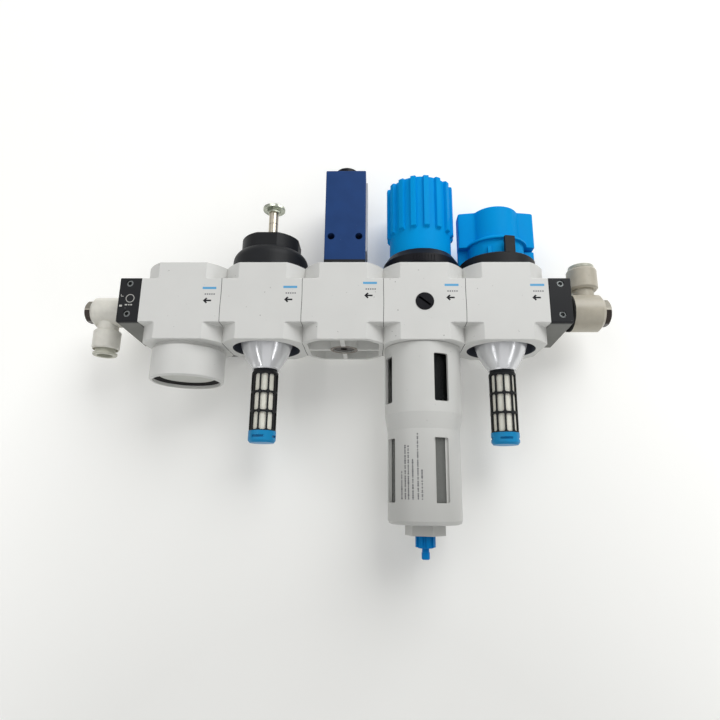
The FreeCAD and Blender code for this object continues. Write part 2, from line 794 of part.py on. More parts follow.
# ---------------------------------------------------------------- solenoid valve
def pilot_cover():
    """Black pilot housing: a bulging brim like a hat's and a round top with four flats."""
    base = half_h
    brim_top = base + pilot_brim_h
    rim = Vector(flange_r, 0, base + pilot_rim_h)
    inner = Vector(pilot_r - 1.0, 0, brim_top)
    bulge = Vector(pilot_brim[0], 0, base + pilot_brim[1])
    line = [inner, Vector(0, 0, brim_top), Vector(0, 0, base), Vector(flange_r, 0, base), rim]
    edges = [Part.LineSegment(a, b).toShape() for a, b in zip(line, line[1:])]
    edges.append(Part.Arc(rim, bulge, inner).toShape())
    skirt = Part.Face(Part.Wire(edges)).revolve(Vector(0, 0, 0), Vector(0, 0, 1), 360)
    tower = rod(pilot_r, base, base + pilot_h)
    tower = tower.common(block(-pilot_flat, pilot_flat, -pilot_flat, pilot_flat, base, base + pilot_h))
    top = base + pilot_h - 0.01
    tower = rounded(tower, edge_r, lambda e: e.BoundBox.ZMin > top)
    spigot = rod(top_bore_r - fit_gap, spigot_foot, base)
    cover = skirt.fuse([tower, spigot]).removeSplitter()
    foot = base + tube_foot
    return cover.cut(rod(tube_r + fit_gap, foot, base + pilot_h))


def armature_tube():
    """Thin metal tube that the missing coil slides over, closed at the top and threaded for its nut."""
    foot = half_h + tube_foot
    top = half_h + tube_top
    joint = half_h + (pilot_h + tube_top) / 2 + 0.5
    tube = rod(tube_r, foot, top)
    tube = tube.cut(rod(tube_bore_r, foot, top - 5.0))
    groove = rod(tube_r, joint, joint + groove_w).cut(rod(tube_r - 0.3, joint, joint + groove_w))
    return tube.cut(groove)


def armature():
    """Plunger inside the tube; it rests on the pilot seat."""
    foot = half_h + tube_foot
    return rod(tube_bore_r - fit_gap, foot, foot + armature_l)


def armature_spring():
    foot = half_h + tube_foot + armature_l
    return spring(tube_bore_r - 0.7, armature_spring_wire, foot, half_h + tube_top - 5.0, 9)


def coil_nut():
    """Flanged hexagon nut on the end of the armature tube."""
    top = half_h + tube_top
    flange_foot = top - nut_flange_t
    flange = turned([(0, flange_foot), (nut_flange_r - 0.3, flange_foot), (nut_flange_r, flange_foot + 0.3),
                     (nut_flange_r, top - 0.5), (nut_flange_r - 0.5, top), (0, top)])
    nut = flange.fuse(hexagon(nut_hex_af, flange_foot - nut_hex_h, flange_foot)).removeSplitter()
    return nut.cut(rod(tube_r, flange_foot - nut_hex_h, top))


def solenoid_poppet():
    """Poppet and stem of the solenoid valve."""
    return turned([(0, poppet_top), (poppet_r, poppet_top), (poppet_r, web_top), (stem_r, web_top),
                   (stem_r, web_top - 9.0), (0, web_top - 9.0)])


# ---------------------------------------------------------------- exhaust cone and silencer
def exhaust_cone():
    """Bulging cone that carries the silencer, screwed into the valve from below."""
    tip = -half_h - cone_tip
    bulge = lower_foot - cone_straight_h
    neck_top = lower_foot + 6.0
    middle = Vector(cone_tip_r + (cone_r - cone_tip_r) * cone_bulge, 0, tip + (bulge - tip) * 0.5)
    start, end = Vector(cone_r, 0, bulge), Vector(cone_tip_r, 0, tip + 0.8)
    neck_r = chamber_r - fit_gap
    corners = [(cone_tip_r, tip), (0, tip), (0, neck_top), (neck_r, neck_top), (neck_r, lower_foot),
               (cone_r, lower_foot)]
    line = [end] + [Vector(r, 0, z) for r, z in corners] + [start]
    edges = [Part.Arc(start, middle, end).toShape()]
    edges += [Part.LineSegment(a, b).toShape() for a, b in zip(line, line[1:])]
    cone = Part.Face(Part.Wire(edges)).revolve(Vector(0, 0, 0), Vector(0, 0, 1), 360)
    cone = cone.cut(rod(cone_bore_r, tip, neck_top))
    return cone.cut(rod(nipple_r + fit_gap, tip, tip + nipple_l))


def silencer_levels():
    """Heights of the silencer: collar top, shoulder, first bar, foot of the cage."""
    top = -half_h - cone_tip
    shoulder = top - cage_collar_h
    bars = shoulder - cage_shoulder_h
    return top, shoulder, bars, bars - cage_l


def silencer_cage():
    """Black cage of bars and rings with a threaded nipple."""
    top, shoulder, bars, foot = silencer_levels()
    inner = cage_r - cage_wall
    cage = turned([(0, top + nipple_l), (nipple_r, top + nipple_l), (nipple_r, top), (cage_collar_r, top),
                   (cage_collar_r, shoulder), (cage_r, bars + small_bevel), (cage_r, foot),
                   (inner, foot), (inner, bars), (0, bars)])
    cage = cage.cut(rod(cone_bore_r - 1.0, bars, top + nipple_l))
    pitch = cage_l / cage_rows
    window_half = math.pi * cage_r / cage_columns - cage_bar / 2
    height = pitch - cage_bar
    windows = []
    for row in range(cage_rows):
        z = foot + pitch * row + cage_bar / 2
        window = block(-window_half, window_half, -cage_r - 1, -inner + 1.0, z, z + height)
        window = rounded(window, window_half * 0.6, lambda e: e.BoundBox.YLength > 0.9 * (cage_r - inner))
        windows += ring_of(window, cage_columns, cage_turn)
    return cage.cut(windows)


def silencer_element():
    """White sintered sleeve inside the cage."""
    foot, bars = silencer_levels()[3], silencer_levels()[2]
    r = cage_r - cage_wall - element_gap
    return rod(r, foot, bars).cut(rod(r - 2.4, foot + 2.4, bars))


def silencer_cap():
    """Blue end cap with a shallow slot on each of its four sides."""
    top = silencer_levels()[3]
    foot = top - silencer_cap_h
    cap = turned([(0, top), (silencer_cap_r, top), (silencer_cap_r, foot + silencer_cap_chamfer),
                  (silencer_cap_r - silencer_cap_chamfer * 0.8, foot), (0, foot)])
    slot_z = foot + silencer_cap_h * 0.42
    slot = block(-cap_slot_w / 2, cap_slot_w / 2, -silencer_cap_r - 1, -silencer_cap_r + cap_slot_depth,
                 slot_z, slot_z + cap_slot_h)
    return cap.cut(ring_of(slot, 4, cap_turn))


def both_exhausts(shape):
    """One copy under each of the two on-off valves."""
    return Part.makeCompound([at(shape, solenoid_x), at(shape, shutoff_x)])


# ---------------------------------------------------------------- branching module and pressure switch
def branch_plug():
    """Socket plug in the lower port of the branching module."""
    foot = -half_h + plug_sink
    outer = plug_r - fit_gap
    plug = turned([(0, foot), (outer - small_bevel, foot), (outer, foot + small_bevel),
                   (outer, foot + plug_l), (0, foot + plug_l)])
    return plug.cut(hexagon(plug_socket_af, foot, foot + plug_socket_depth))


def switch_base():
    """Black foot of the pressure switch with its threaded nipple."""
    half = switch_w / 2
    base = block(-half, half, -half, half, half_h, half_h + switch_base_h)
    base = base.fuse(rod(switch_nipple_r - fit_gap, half_h - switch_nipple_l, half_h)).removeSplitter()
    return base.cut(rod(switch_piston_r + fit_gap, half_h - switch_nipple_l, half_h + switch_base_h))


def switch_housing():
    """Blue square housing with two through holes near its foot."""
    half = switch_w / 2
    foot = half_h + switch_base_h
    top = foot + switch_h
    housing = block(-half, half, -half, half, foot, top)
    housing = rounded(housing, edge_r, lambda e: e.BoundBox.ZMax > foot + 0.01)
    for x in (-switch_hole_pitch / 2, switch_hole_pitch / 2):
        housing = housing.cut(rod_y(switch_hole_r, -half, half, x, foot + switch_hole_z))
    return housing.cut(rod(switch_piston_r + fit_gap, foot, foot + switch_piston_l + 4.0))


def switch_piston():
    """Small piston that the air lifts against the switch."""
    foot = half_h + 1.0
    return rod(switch_piston_r, foot, foot + switch_base_h + switch_piston_l)


def switch_connector():
    """Round socket on top for the cable's plug, with four contact pins."""
    foot = half_h + switch_base_h + switch_h
    top = foot + connector_h
    socket = turned([(0, foot), (connector_r, foot), (connector_r, top - small_bevel),
                     (connector_r - small_bevel, top), (0, top)])
    socket = socket.cut(rod(connector_bore_r, top - connector_bore_depth, top))
    pin = rod(connector_pin_r, top - connector_bore_depth, top - 1.0, connector_pin_pitch_r)
    return socket.fuse(ring_of(pin, connector_pins, 45.0))


def switch_side_cover():
    """Thin cover plate on the right side of the switch."""
    side = switch_w / 2
    middle = half_h + switch_base_h + switch_h / 2
    cover = block(side, side + side_cover_t, -side_cover_w / 2, side_cover_w / 2,
                  middle - side_cover_h / 2, middle + side_cover_h / 2)
    return rounded(cover, side_cover_t, lambda e: e.BoundBox.XLength > side_cover_t - 0.01)


# ---------------------------------------------------------------- filter regulator
def bonnet():
    """Black ring on the module with the sleeve that holds the setting spring, hidden by the knob."""
    base = half_h
    rim, mouth = base + bonnet_rim_h, base + bonnet_top
    roof = base + sleeve_top
    clamp = half_h - diaphragm_seat + diaphragm_t
    floor = base + bonnet_floor_t
    shell = turned([(sleeve_in_r, clamp), (diaphragm_r, clamp), (diaphragm_r, base), (flange_r, base),
                    (flange_r, rim), (bonnet_slope_r, mouth), (bonnet_mouth_r, mouth),
                    (bonnet_mouth_r, floor),
                    (sleeve_out_r, floor), (sleeve_out_r, roof), (spindle_neck_r + fit_gap, roof),
                    (spindle_neck_r + fit_gap, roof - sleeve_roof_t), (sleeve_in_r, roof - sleeve_roof_t)])
    key_slot = block(-key_w / 2 - slide_gap, key_w / 2 + slide_gap, -sleeve_out_r - 1, sleeve_out_r + 1,
                     base + plate_rest - 10.0, base + plate_rest + spring_plate_t + slide_gap)
    shell = shell.cut(key_slot)
    rib = block(-0.7, 0.7, -flange_r - bonnet_rib, -flange_r + 0.6, base + 1.2, rim - 0.8)
    first = -bonnet_rib_pitch * (bonnet_ribs - 1) / 2
    ribs = [spun(rib, first + bonnet_rib_pitch * k) for k in range(bonnet_ribs)]
    return shell.fuse(ribs).removeSplitter()


def diaphragm():
    """Rubber diaphragm with the metal cup that the setting spring stands in."""
    foot = half_h - diaphragm_seat
    top = foot + diaphragm_t
    outer = diaphragm_r - fit_gap
    return turned([(0, foot), (outer, foot), (outer, top), (spring_cup_r, top),
                   (spring_cup_r, top + spring_cup_t), (0, top + spring_cup_t)])


def spring_plate():
    """Nut plate on the spindle; two keys keep it from turning in the sleeve."""
    foot = half_h + plate_rest
    top = foot + spring_plate_t
    plate = rod(spring_plate_r, foot, top).fuse(rod(spring_plate_boss_r, top, top + spring_plate_boss_h))
    key = block(-key_w / 2, key_w / 2, -sleeve_out_r + 0.4, sleeve_out_r - 0.4, foot, top)
    plate = plate.fuse(key).removeSplitter()
    return plate.cut(rod(spindle_r + fit_gap, foot, top + spring_plate_boss_h))


def main_spring():
    foot = half_h - diaphragm_seat + diaphragm_t + spring_cup_t
    return spring(main_spring_r, main_spring_wire, foot, half_h + plate_rest, 5)


def adjusting_spindle():
    """Screw in the bonnet; its square end drives it from the knob."""
    roof = half_h + sleeve_top
    collar_top = roof - sleeve_roof_t
    collar_foot = collar_top - spindle_collar_t
    foot = half_h + spindle_foot
    spindle = turned([(0, foot), (spindle_r, foot), (spindle_r, collar_foot),
                      (spindle_collar_r, collar_foot), (spindle_collar_r, collar_top - 0.05),
                      (spindle_neck_r, collar_top - 0.05), (spindle_neck_r, roof), (0, roof)])
    half = spindle_square / 2
    return spindle.fuse(block(-half, half, -half, half, roof, roof + spindle_square_l)).removeSplitter()


def knob_rib():
    """One grip rib, tapered at its foot and bevelled at its top."""
    foot, top = half_h + knob_rib_foot, half_h + knob_top
    inner = knob_r - 1.0
    outline = [(inner, foot - 1.6), (knob_r, foot - 1.6), (knob_rib_r, foot), (knob_rib_r - 0.2, top - 1.4),
               (knob_rib_r - 1.6, top), (inner, top)]
    wire = Part.makePolygon([Vector(-knob_rib_w / 2, -r, z) for r, z in outline + outline[:1]])
    rib = Part.Face(wire).extrude(Vector(knob_rib_w, 0, 0))
    return rounded(rib, edge_r, lambda e: e.BoundBox.XLength < 0.01 and e.BoundBox.YMax < -knob_rib_r + 0.3)


def pressure_knob():
    """Ribbed blue knob; pulled up it turns the spindle, pushed down it is locked."""
    foot, top = half_h + knob_foot, half_h + knob_top
    inner = knob_r - knob_wall
    roof = top - knob_roof_t
    hub_foot = half_h + sleeve_top + 0.5
    dish = top - knob_dish_depth
    shell = turned([(inner, foot), (knob_r, foot), (knob_r, top - knob_edge), (knob_r - knob_edge, top),
                    (knob_dish_r, top), (knob_dish_r - knob_dish_depth, dish), (0, dish),
                    (0, hub_foot), (knob_hub_r, hub_foot), (knob_hub_r, roof), (inner, roof)])
    half = spindle_square / 2 + 0.1
    shell = shell.cut(block(-half, half, -half, half, hub_foot, roof))
    return shell.fuse(ring_of(knob_rib(), knob_ribs, knob_rib_turn)).removeSplitter()


def gauge_plug():
    """Slotted plug in the gauge port on the front."""
    front = -half_d
    plug = rod_y(gauge_plug_r - fit_gap, front - 0.5, front + gauge_plug_l, 0, gauge_port_z)
    plug = rounded(plug, 0.4, lambda e: e.BoundBox.YMax < front - 0.4)
    slot = block(-gauge_plug_r * 0.78, gauge_plug_r * 0.78, front - 0.6, front + 2.0, -0.75, 0.75)
    slot.rotate(Vector(0, 0, 0), Vector(0, 1, 0), 38)
    slot.translate(Vector(0, 0, gauge_port_z))
    return plug.cut(slot)


def valve_stem():
    """Stem that the diaphragm pushes down, with the poppet below its seat."""
    top = half_h - diaphragm_seat - 0.1
    return turned([(0, top), (valve_stem_r, top), (valve_stem_r, -web_top), (poppet_r, -web_top),
                   (poppet_r, -poppet_top), (valve_stem_r + 1.0, -poppet_top),
                   (valve_stem_r + 1.0, -poppet_top - 2.5), (0, -poppet_top - 2.5)])


def valve_spring():
    return spring(valve_spring_r, valve_spring_wire, lower_foot + baffle_neck_h, -poppet_top, 4)


def baffle():
    """Black insert that hangs in the bowl: neck, swirl disc, drip skirt and the element's stud."""
    neck_top = lower_foot + baffle_neck_h
    disc_top = -half_h - guard_gap - 3.0
    disc_foot = disc_top - baffle_disc_t
    stud_foot = disc_foot - element_l
    body = turned([(0, neck_top), (chamber_r - fit_gap, neck_top), (chamber_r - fit_gap, lower_foot - 2.0),
                   (element_bore_r, lower_foot - 4.0), (element_bore_r, disc_top), (baffle_disc_r, disc_top),
                   (baffle_disc_r, disc_foot), (skirt_r, disc_foot - 1.0), (skirt_r, disc_foot - skirt_h),
                   (skirt_r - skirt_wall, disc_foot - skirt_h), (skirt_r - skirt_wall, disc_foot),
                   (baffle_stud_r, disc_foot), (baffle_stud_r, stud_foot), (0, stud_foot)])
    notch_foot = disc_foot - skirt_h
    notch = block(-skirt_notch_w / 2, skirt_notch_w / 2, -skirt_r - 1, -skirt_r + skirt_wall + 1,
                  notch_foot, notch_foot + skirt_notch_h)
    swirl = block(-swirl_w / 2, swirl_w / 2, -baffle_disc_r - 1, -skirt_r + skirt_wall + 0.4,
                  disc_foot + small_bevel, disc_top)
    body = body.cut(ring_of(notch, skirt_notches))
    body = body.cut(ring_of(swirl, swirl_slots, 5.0))
    body = body.cut(rod(baffle_duct_r, disc_foot - baffle_duct_l, neck_top))
    port = rod_x(baffle_port_r, -baffle_stud_r - 1, baffle_stud_r + 1, 0, disc_foot - baffle_duct_l / 2)
    return body.cut([port, spun(port, 90)])


def element_levels():
    disc_foot = -half_h - guard_gap - 3.0 - baffle_disc_t
    return disc_foot, disc_foot - element_l


def filter_element():
    """White sintered sleeve on the baffle's stud."""
    top, foot = element_levels()
    return rod(element_r, foot, top).cut(rod(element_bore_r, foot, top))


def element_retainer():
    """Black disc screwed on the stud below the element."""
    foot = element_levels()[1]
    return turned([(0, foot), (element_r, foot), (retainer_r, foot - retainer_t * 0.5),
                   (retainer_r, foot - retainer_t), (0, foot - retainer_t)])


def guard_profile():
    """Heights of the guard: top, taper top, taper foot, foot."""
    return (-half_h - guard_gap, -half_h - guard_taper_top, -half_h - guard_taper_foot, -half_h - guard_foot)


def bowl_guard():
    """Grey metal guard with two rows of windows and a hexagon; its spigot turns in the module's bore."""
    top, taper_top, taper_foot, foot = guard_profile()
    spigot_r = bowl_bore_r - slide_gap
    spigot_top = -half_h + guard_spigot_h
    inner, inner_low = guard_r - guard_wall, guard_lower_r - guard_wall
    shell = turned([(bowl_r + fit_gap, spigot_top), (spigot_r, spigot_top), (spigot_r, top), (guard_r, top),
                    (guard_r, taper_top), (guard_lower_r, taper_foot), (guard_lower_r, foot + guard_corner),
                    (guard_lower_r - guard_corner * 0.29, foot + guard_corner * 0.29),
                    (guard_lower_r - guard_corner, foot), (bowl_boss_r + fit_gap, foot),
                    (bowl_boss_r + fit_gap, foot + guard_floor_t), (inner_low, foot + guard_floor_t),
                    (inner_low, taper_foot), (inner, taper_top), (inner, top - guard_ring_h),
                    (bowl_r + fit_gap, top - guard_ring_h)])
    windows = []
    for high, low in (upper_window, lower_window):
        window = block(-window_w / 2, window_w / 2, -guard_r - 1, -bowl_r - fit_gap / 2,
                       -half_h - low, -half_h - high)
        window = rounded(window, window_corner, lambda e: e.BoundBox.YLength > guard_wall)
        windows += ring_of(window, window_columns, window_turn)
    boss = spun(hexagon(hex_af, foot - hex_h, foot), hex_turn)
    boss = boss.cut(rod(bowl_boss_r + fit_gap, foot - hex_h, foot))
    return shell.cut(windows).fuse(boss).removeSplitter()


def bowl():
    """Clear bowl inside the guard, with a boss that the drain screws into."""
    top = -half_h + guard_spigot_h + bowl_top_gap
    guard_floor = -half_h - guard_foot + guard_floor_t
    hex_foot = -half_h - guard_foot - hex_h
    inner = bowl_in_r
    floor = guard_floor + bowl_wall
    shell = turned([(inner, top), (bowl_r, top), (bowl_r, guard_floor + 4.0), (bowl_r - 4.0, guard_floor),
                    (bowl_boss_r, guard_floor), (bowl_boss_r, hex_foot), (0, hex_foot), (0, floor - 0.5),
                    (inner - 3.5, floor), (inner, floor + 3.5)])
    return shell.cut(rod(bowl_boss_bore_r, hex_foot, floor + 1.0))


def drain_screw():
    """Blue drain valve: shaft in the bowl's boss, ribbed grip and a barb for a hose."""
    grip_top = -half_h - guard_foot - hex_h - drain_gap
    grip_foot = grip_top - drain_h
    shaft_top = grip_top + drain_shaft_l
    barb_foot = grip_foot - barb_l
    body = turned([(0, shaft_top), (drain_shaft_r, shaft_top), (drain_shaft_r, grip_top),
                   (drain_r - 1.0, grip_top), (drain_r - 1.0, grip_foot + drain_bevel),
                   (drain_r - 1.0 - drain_bevel, grip_foot),
                   (barb_neck_r, grip_foot), (barb_neck_r, grip_foot - barb_neck_l),
                   (barb_r, grip_foot - barb_neck_l), (barb_r, barb_foot + 0.5), (barb_r - 0.5, barb_foot),
                   (0, barb_foot)])
    rib = block(-1.4, 1.4, -drain_r, -drain_r + 2.0, grip_foot + drain_bevel, grip_top)
    rib = rounded(rib, 0.4, lambda e: e.BoundBox.ZLength > 1.0 and e.BoundBox.YMax < -drain_r + 0.1)
    body = body.fuse(ring_of(rib, drain_ribs, 12.0)).removeSplitter()
    return body.cut(rod(drain_bore_r, barb_foot, shaft_top))


# ---------------------------------------------------------------- hand shut-off valve
def index_ring():
    """Black ring under the handle; its upright tab stops the handle's left leg."""
    base, top = half_h, half_h + index_h
    ring = turned([(0, spigot_foot), (top_bore_r - fit_gap, spigot_foot), (top_bore_r - fit_gap, base),
                   (flange_r, base), (flange_r, top - 0.8), (flange_r - 0.8, top), (0, top)])
    tab = rod(tab_out_r, top - 1.0, base + tab_h).cut(rod(tab_in_r, top - 1.0, base + tab_h))
    tab = tab.common(block(-tab_w / 2, tab_w / 2, -tab_out_r - 1, 0, top - 1.0, base + tab_h))
    ring = ring.fuse(spun(tab, tab_turn)).removeSplitter()
    return ring.cut(rod(spindle_stem_r + fit_gap, spigot_foot, top))


def shutoff_spindle():
    """Spindle that the handle turns and that works the poppet."""
    foot = spigot_foot - 1.0
    top = half_h + handle_foot
    half = spindle_drive / 2
    spindle = rod(spindle_stem_r, foot, top)
    return spindle.fuse(block(-half, half, -half, half, top, top + spindle_head)).removeSplitter()


def handle_wings(z0, z1):
    """Plan of the two wings, thicker at their roots than at their ends, between two heights."""
    half_l, tip, root = handle_w / 2, handle_tip_t / 2, handle_root_t / 2
    outline = [(-half_l, -tip), (-handle_r, -root), (handle_r, -root), (half_l, -tip),
               (half_l, tip), (handle_r, root), (-handle_r, root), (-half_l, tip)]
    wire = Part.makePolygon([Vector(x, y, z0) for x, y in outline + outline[:1]])
    return Part.Face(wire).extrude(Vector(0, 0, z1 - z0))


def shutoff_handle():
    """Blue two-winged handle; a quarter turn shuts the valve."""
    foot, step, top = half_h + handle_foot, half_h + handle_step, half_h + handle_top
    half_l, tip = handle_w / 2, handle_tip_t / 2
    wings = rounded(handle_wings(step, top), handle_edge_r, lambda e: e.BoundBox.ZLength > 1.0
                    and max(abs(e.BoundBox.XMin), abs(e.BoundBox.XMax)) > half_l - 0.01)
    skirt = turned([(0, step), (handle_skirt_r, step), (handle_skirt_r, step + handle_skirt_h),
                    (handle_r, step + handle_skirt_h + handle_flare_h), (handle_r, top), (0, top)])
    upper = wings.fuse(skirt).removeSplitter()
    upper = rounded(upper, edge_r, lambda e: e.BoundBox.ZMin > top - 0.01)
    tab_reach = tab_out_r * math.sin(math.radians(tab_turn)) - tab_w / 2 * math.cos(math.radians(tab_turn))
    left_leg = block(-half_l, -leg_in, -tab_reach + tab_room, tip, foot, step)
    right_leg = block(leg_in, half_l, -tip, tip, half_h + right_leg_foot, step)
    slot_z = half_h + padlock_slot_z
    slot = block(padlock_slot_in, padlock_slot_out, -tip - 1, -tip + padlock_slot_depth,
                 slot_z, slot_z + padlock_slot_h)
    rib = block(-rest_rib_w / 2, rest_rib_w / 2, -handle_core_r - 1.6, -handle_core_r + 1.0, foot, foot + 6.5)
    handle = upper.fuse([rod(handle_core_r, foot, step), left_leg, right_leg, spun(rib, rest_rib_turn)])
    drive = spindle_drive / 2 + fit_gap
    handle = handle.removeSplitter().cut(slot)
    handle = handle.cut(block(-drive, drive, -drive, drive, foot, foot + spindle_head))
    relief = rod(handle_core_r - handle_wall, foot, foot + handle_wall)
    return handle.cut(relief.cut(rod(spindle_stem_r + handle_wall, foot, foot + handle_wall)))


def shutoff_poppet():
    """Poppet of the hand valve, lifted off its seat while the valve is open."""
    lift = spool_open
    return turned([(0, poppet_top + lift), (poppet_r, poppet_top + lift), (poppet_r, web_top + lift),
                   (stem_r, web_top + lift), (stem_r, web_top - 8.0 + lift), (0, web_top - 8.0 + lift)])


# ---------------------------------------------------------------- all pieces, in the line frame
def all_pieces():
    bodies = {
        "soft_start_body": at(soft_start_body(), soft_start_x),
        "solenoid_valve_body": at(exhaust_valve_body(), solenoid_x),
        "branch_body": at(branch_body(), branch_x),
        "filter_regulator_body": at(regulator_body(), regulator_x),
        "shutoff_valve_body": at(exhaust_valve_body(), shutoff_x),
    }
    return {
        **drill_for_brackets(bodies),
        "module_seals": module_seals(),
        "inlet_plate": inlet_plate(),
        "outlet_plate": to_outlet(end_plate(outlet_elbow_size)),
        "plate_screws": plate_screws(),
        "port_gaskets": port_gaskets(),
        "banjo_bolts": banjo_bolts(),
        "inlet_elbow": elbow(inlet_elbow_size),
        "outlet_elbow": to_outlet(elbow(outlet_elbow_size)),
        "inlet_release_ring": release_ring(inlet_elbow_size),
        "outlet_release_ring": to_outlet(release_ring(outlet_elbow_size)),
        "wall_brackets": wall_brackets(),
        "bracket_screws": bracket_screws(),
        "soft_start_cap": at(soft_start_cap(), soft_start_x),
        "flow_screw": at(flow_screw(), soft_start_x),
        "soft_start_cup": at(soft_start_cup(), soft_start_x),
        "soft_start_end_disc": at(soft_start_end_disc(), soft_start_x),
        "soft_start_end_seal": at(soft_start_end_seal(), soft_start_x),
        "soft_start_piston": at(soft_start_piston(), soft_start_x),
        "soft_start_spring": at(poppet_spring(), soft_start_x),
        "pilot_cover": at(pilot_cover(), solenoid_x),
        "armature_tube": at(armature_tube(), solenoid_x),
        "armature": at(armature(), solenoid_x),
        "armature_spring": at(armature_spring(), solenoid_x),
        "coil_nut": at(coil_nut(), solenoid_x),
        "solenoid_poppet": at(solenoid_poppet(), solenoid_x),
        "solenoid_poppet_spring": at(poppet_spring(), solenoid_x),
        "exhaust_cones": both_exhausts(exhaust_cone()),
        "silencer_cages": both_exhausts(silencer_cage()),
        "silencer_elements": both_exhausts(silencer_element()),
        "silencer_caps": both_exhausts(silencer_cap()),
        "branch_plug": at(branch_plug(), branch_x),
        "switch_base": at(switch_base(), branch_x),
        "switch_housing": at(switch_housing(), branch_x),
        "switch_piston": at(switch_piston(), branch_x),
        "switch_connector": at(switch_connector(), branch_x),
        "switch_side_cover": at(switch_side_cover(), branch_x),
        "bonnet": at(bonnet(), regulator_x),
        "diaphragm": at(diaphragm(), regulator_x),
        "spring_plate": at(spring_plate(), regulator_x),
        "main_spring": at(main_spring(), regulator_x),
        "adjusting_spindle": at(adjusting_spindle(), regulator_x),
        "pressure_knob": at(pressure_knob(), regulator_x),
        "gauge_plug": at(gauge_plug(), regulator_x),
        "valve_stem": at(valve_stem(), regulator_x),
        "valve_spring": at(valve_spring(), regulator_x),
        "baffle": at(baffle(), regulator_x),
        "filter_element": at(filter_element(), regulator_x),
        "element_retainer": at(element_retainer(), regulator_x),
        "bowl_guard": at(bowl_guard(), regulator_x),
        "bowl": at(bowl(), regulator_x),
        "drain_screw": at(drain_screw(), regulator_x),
        "index_ring": at(index_ring(), shutoff_x),
        "shutoff_spindle": at(shutoff_spindle(), shutoff_x),
        "shutoff_handle": at(shutoff_handle(), shutoff_x),
        "shutoff_poppet": at(shutoff_poppet(), shutoff_x),
    }


def export_all():
    os.makedirs("parts", exist_ok=True)
    for name, shape in all_pieces().items():
        piece = shape.copy()
        piece.translate(frame_shift)
        piece.exportStep(f"parts/{name}.step")
        solids = piece.Solids
        print(f"{name}: {len(solids)} solid(s), {piece.Volume / 1000:.2f} cm3, valid {piece.isValid()}")


export_all()
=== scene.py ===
"""Looks for a wall-hung compressed-air service unit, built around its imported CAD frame, in metres."""
import math
import bpy
import numpy as np
from mathutils import Matrix, Vector


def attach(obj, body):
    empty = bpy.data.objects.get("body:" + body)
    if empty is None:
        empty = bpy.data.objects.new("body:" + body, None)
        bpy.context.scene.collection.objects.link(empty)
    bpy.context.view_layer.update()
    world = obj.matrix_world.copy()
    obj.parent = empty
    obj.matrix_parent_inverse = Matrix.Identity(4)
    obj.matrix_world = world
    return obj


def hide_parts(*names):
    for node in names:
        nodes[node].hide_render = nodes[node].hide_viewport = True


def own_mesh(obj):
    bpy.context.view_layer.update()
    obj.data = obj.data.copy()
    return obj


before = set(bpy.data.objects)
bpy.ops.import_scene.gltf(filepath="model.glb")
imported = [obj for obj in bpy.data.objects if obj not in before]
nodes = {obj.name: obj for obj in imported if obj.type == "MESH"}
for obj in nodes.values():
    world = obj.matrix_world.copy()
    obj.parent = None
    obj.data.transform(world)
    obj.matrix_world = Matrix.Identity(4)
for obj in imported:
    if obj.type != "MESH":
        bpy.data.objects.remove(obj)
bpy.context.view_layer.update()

# ---------------------------------------------------------------- sizes, in metres, in the part's own frame
MM = 0.001
FRONT = -0.059                       # front faces of the modules
AXIS_Y = -0.0315                     # the row's centre line
LINE_Z = -0.036                      # height of the air line

# ---------------------------------------------------------------- sizes, in mm, from the air line's middle
MODULE = 55.0                        # one module along the row
SOLENOID_X = -MODULE                 # middles of the modules that carry pieces made here
REGULATOR_X = MODULE
SHUTOFF_X = 2 * MODULE
HALF_DEPTH = 27.5                    # air line to the modules' front faces
EXHAUST_R = 23.54                    # recess round an exhaust cone


def place(x, y, z):
    """A point given in millimetres from the air line's middle, in the part's frame."""
    return np.array([x * MM, y * MM + AXIS_Y, z * MM + LINE_Z])


# ---------------------------------------------------------------- materials
def mix_colours(tree, factor, low, high):
    """A colour mixed by a factor socket from low, which is a colour or a socket, to the colour high."""
    mix = tree.nodes.new("ShaderNodeMix")
    mix.data_type = "RGBA"
    tree.links.new(factor, mix.inputs["Factor"])
    if isinstance(low, bpy.types.NodeSocket):
        tree.links.new(low, mix.inputs["A"])
    else:
        mix.inputs["A"].default_value = (*low, 1)
    mix.inputs["B"].default_value = (*high, 1)
    return mix.outputs["Result"]


def spread(tree, factor, low, high, start=0.0, end=1.0):
    """Maps a factor socket from start..end to low..high, clamped."""
    ramp = tree.nodes.new("ShaderNodeMapRange")
    tree.links.new(factor, ramp.inputs["Value"])
    for name, value in (("From Min", start), ("From Max", end), ("To Min", low), ("To Max", high)):
        ramp.inputs[name].default_value = value
    return ramp.outputs["Result"]


def noise(tree, where, scale, detail, stretch=(1, 1, 1)):
    """Noise at a place socket, stretched along chosen axes."""
    stretched = tree.nodes.new("ShaderNodeMapping")
    stretched.inputs["Scale"].default_value = stretch
    tree.links.new(where, stretched.inputs["Vector"])
    made = tree.nodes.new("ShaderNodeTexNoise")
    made.inputs["Scale"].default_value = scale
    made.inputs["Detail"].default_value = detail
    tree.links.new(stretched.outputs["Vector"], made.inputs["Vector"])
    return made.outputs["Fac"]


MIDDLE_BAND = (0.3, 0.7)             # the part of a noise's range where most of it lies
SPECK_SCALE = 520
SPECK_PEAK = (0.77, 0.80)            # a speck's edge and middle, in the noise's range
ROUGH_SPREAD = 0.08


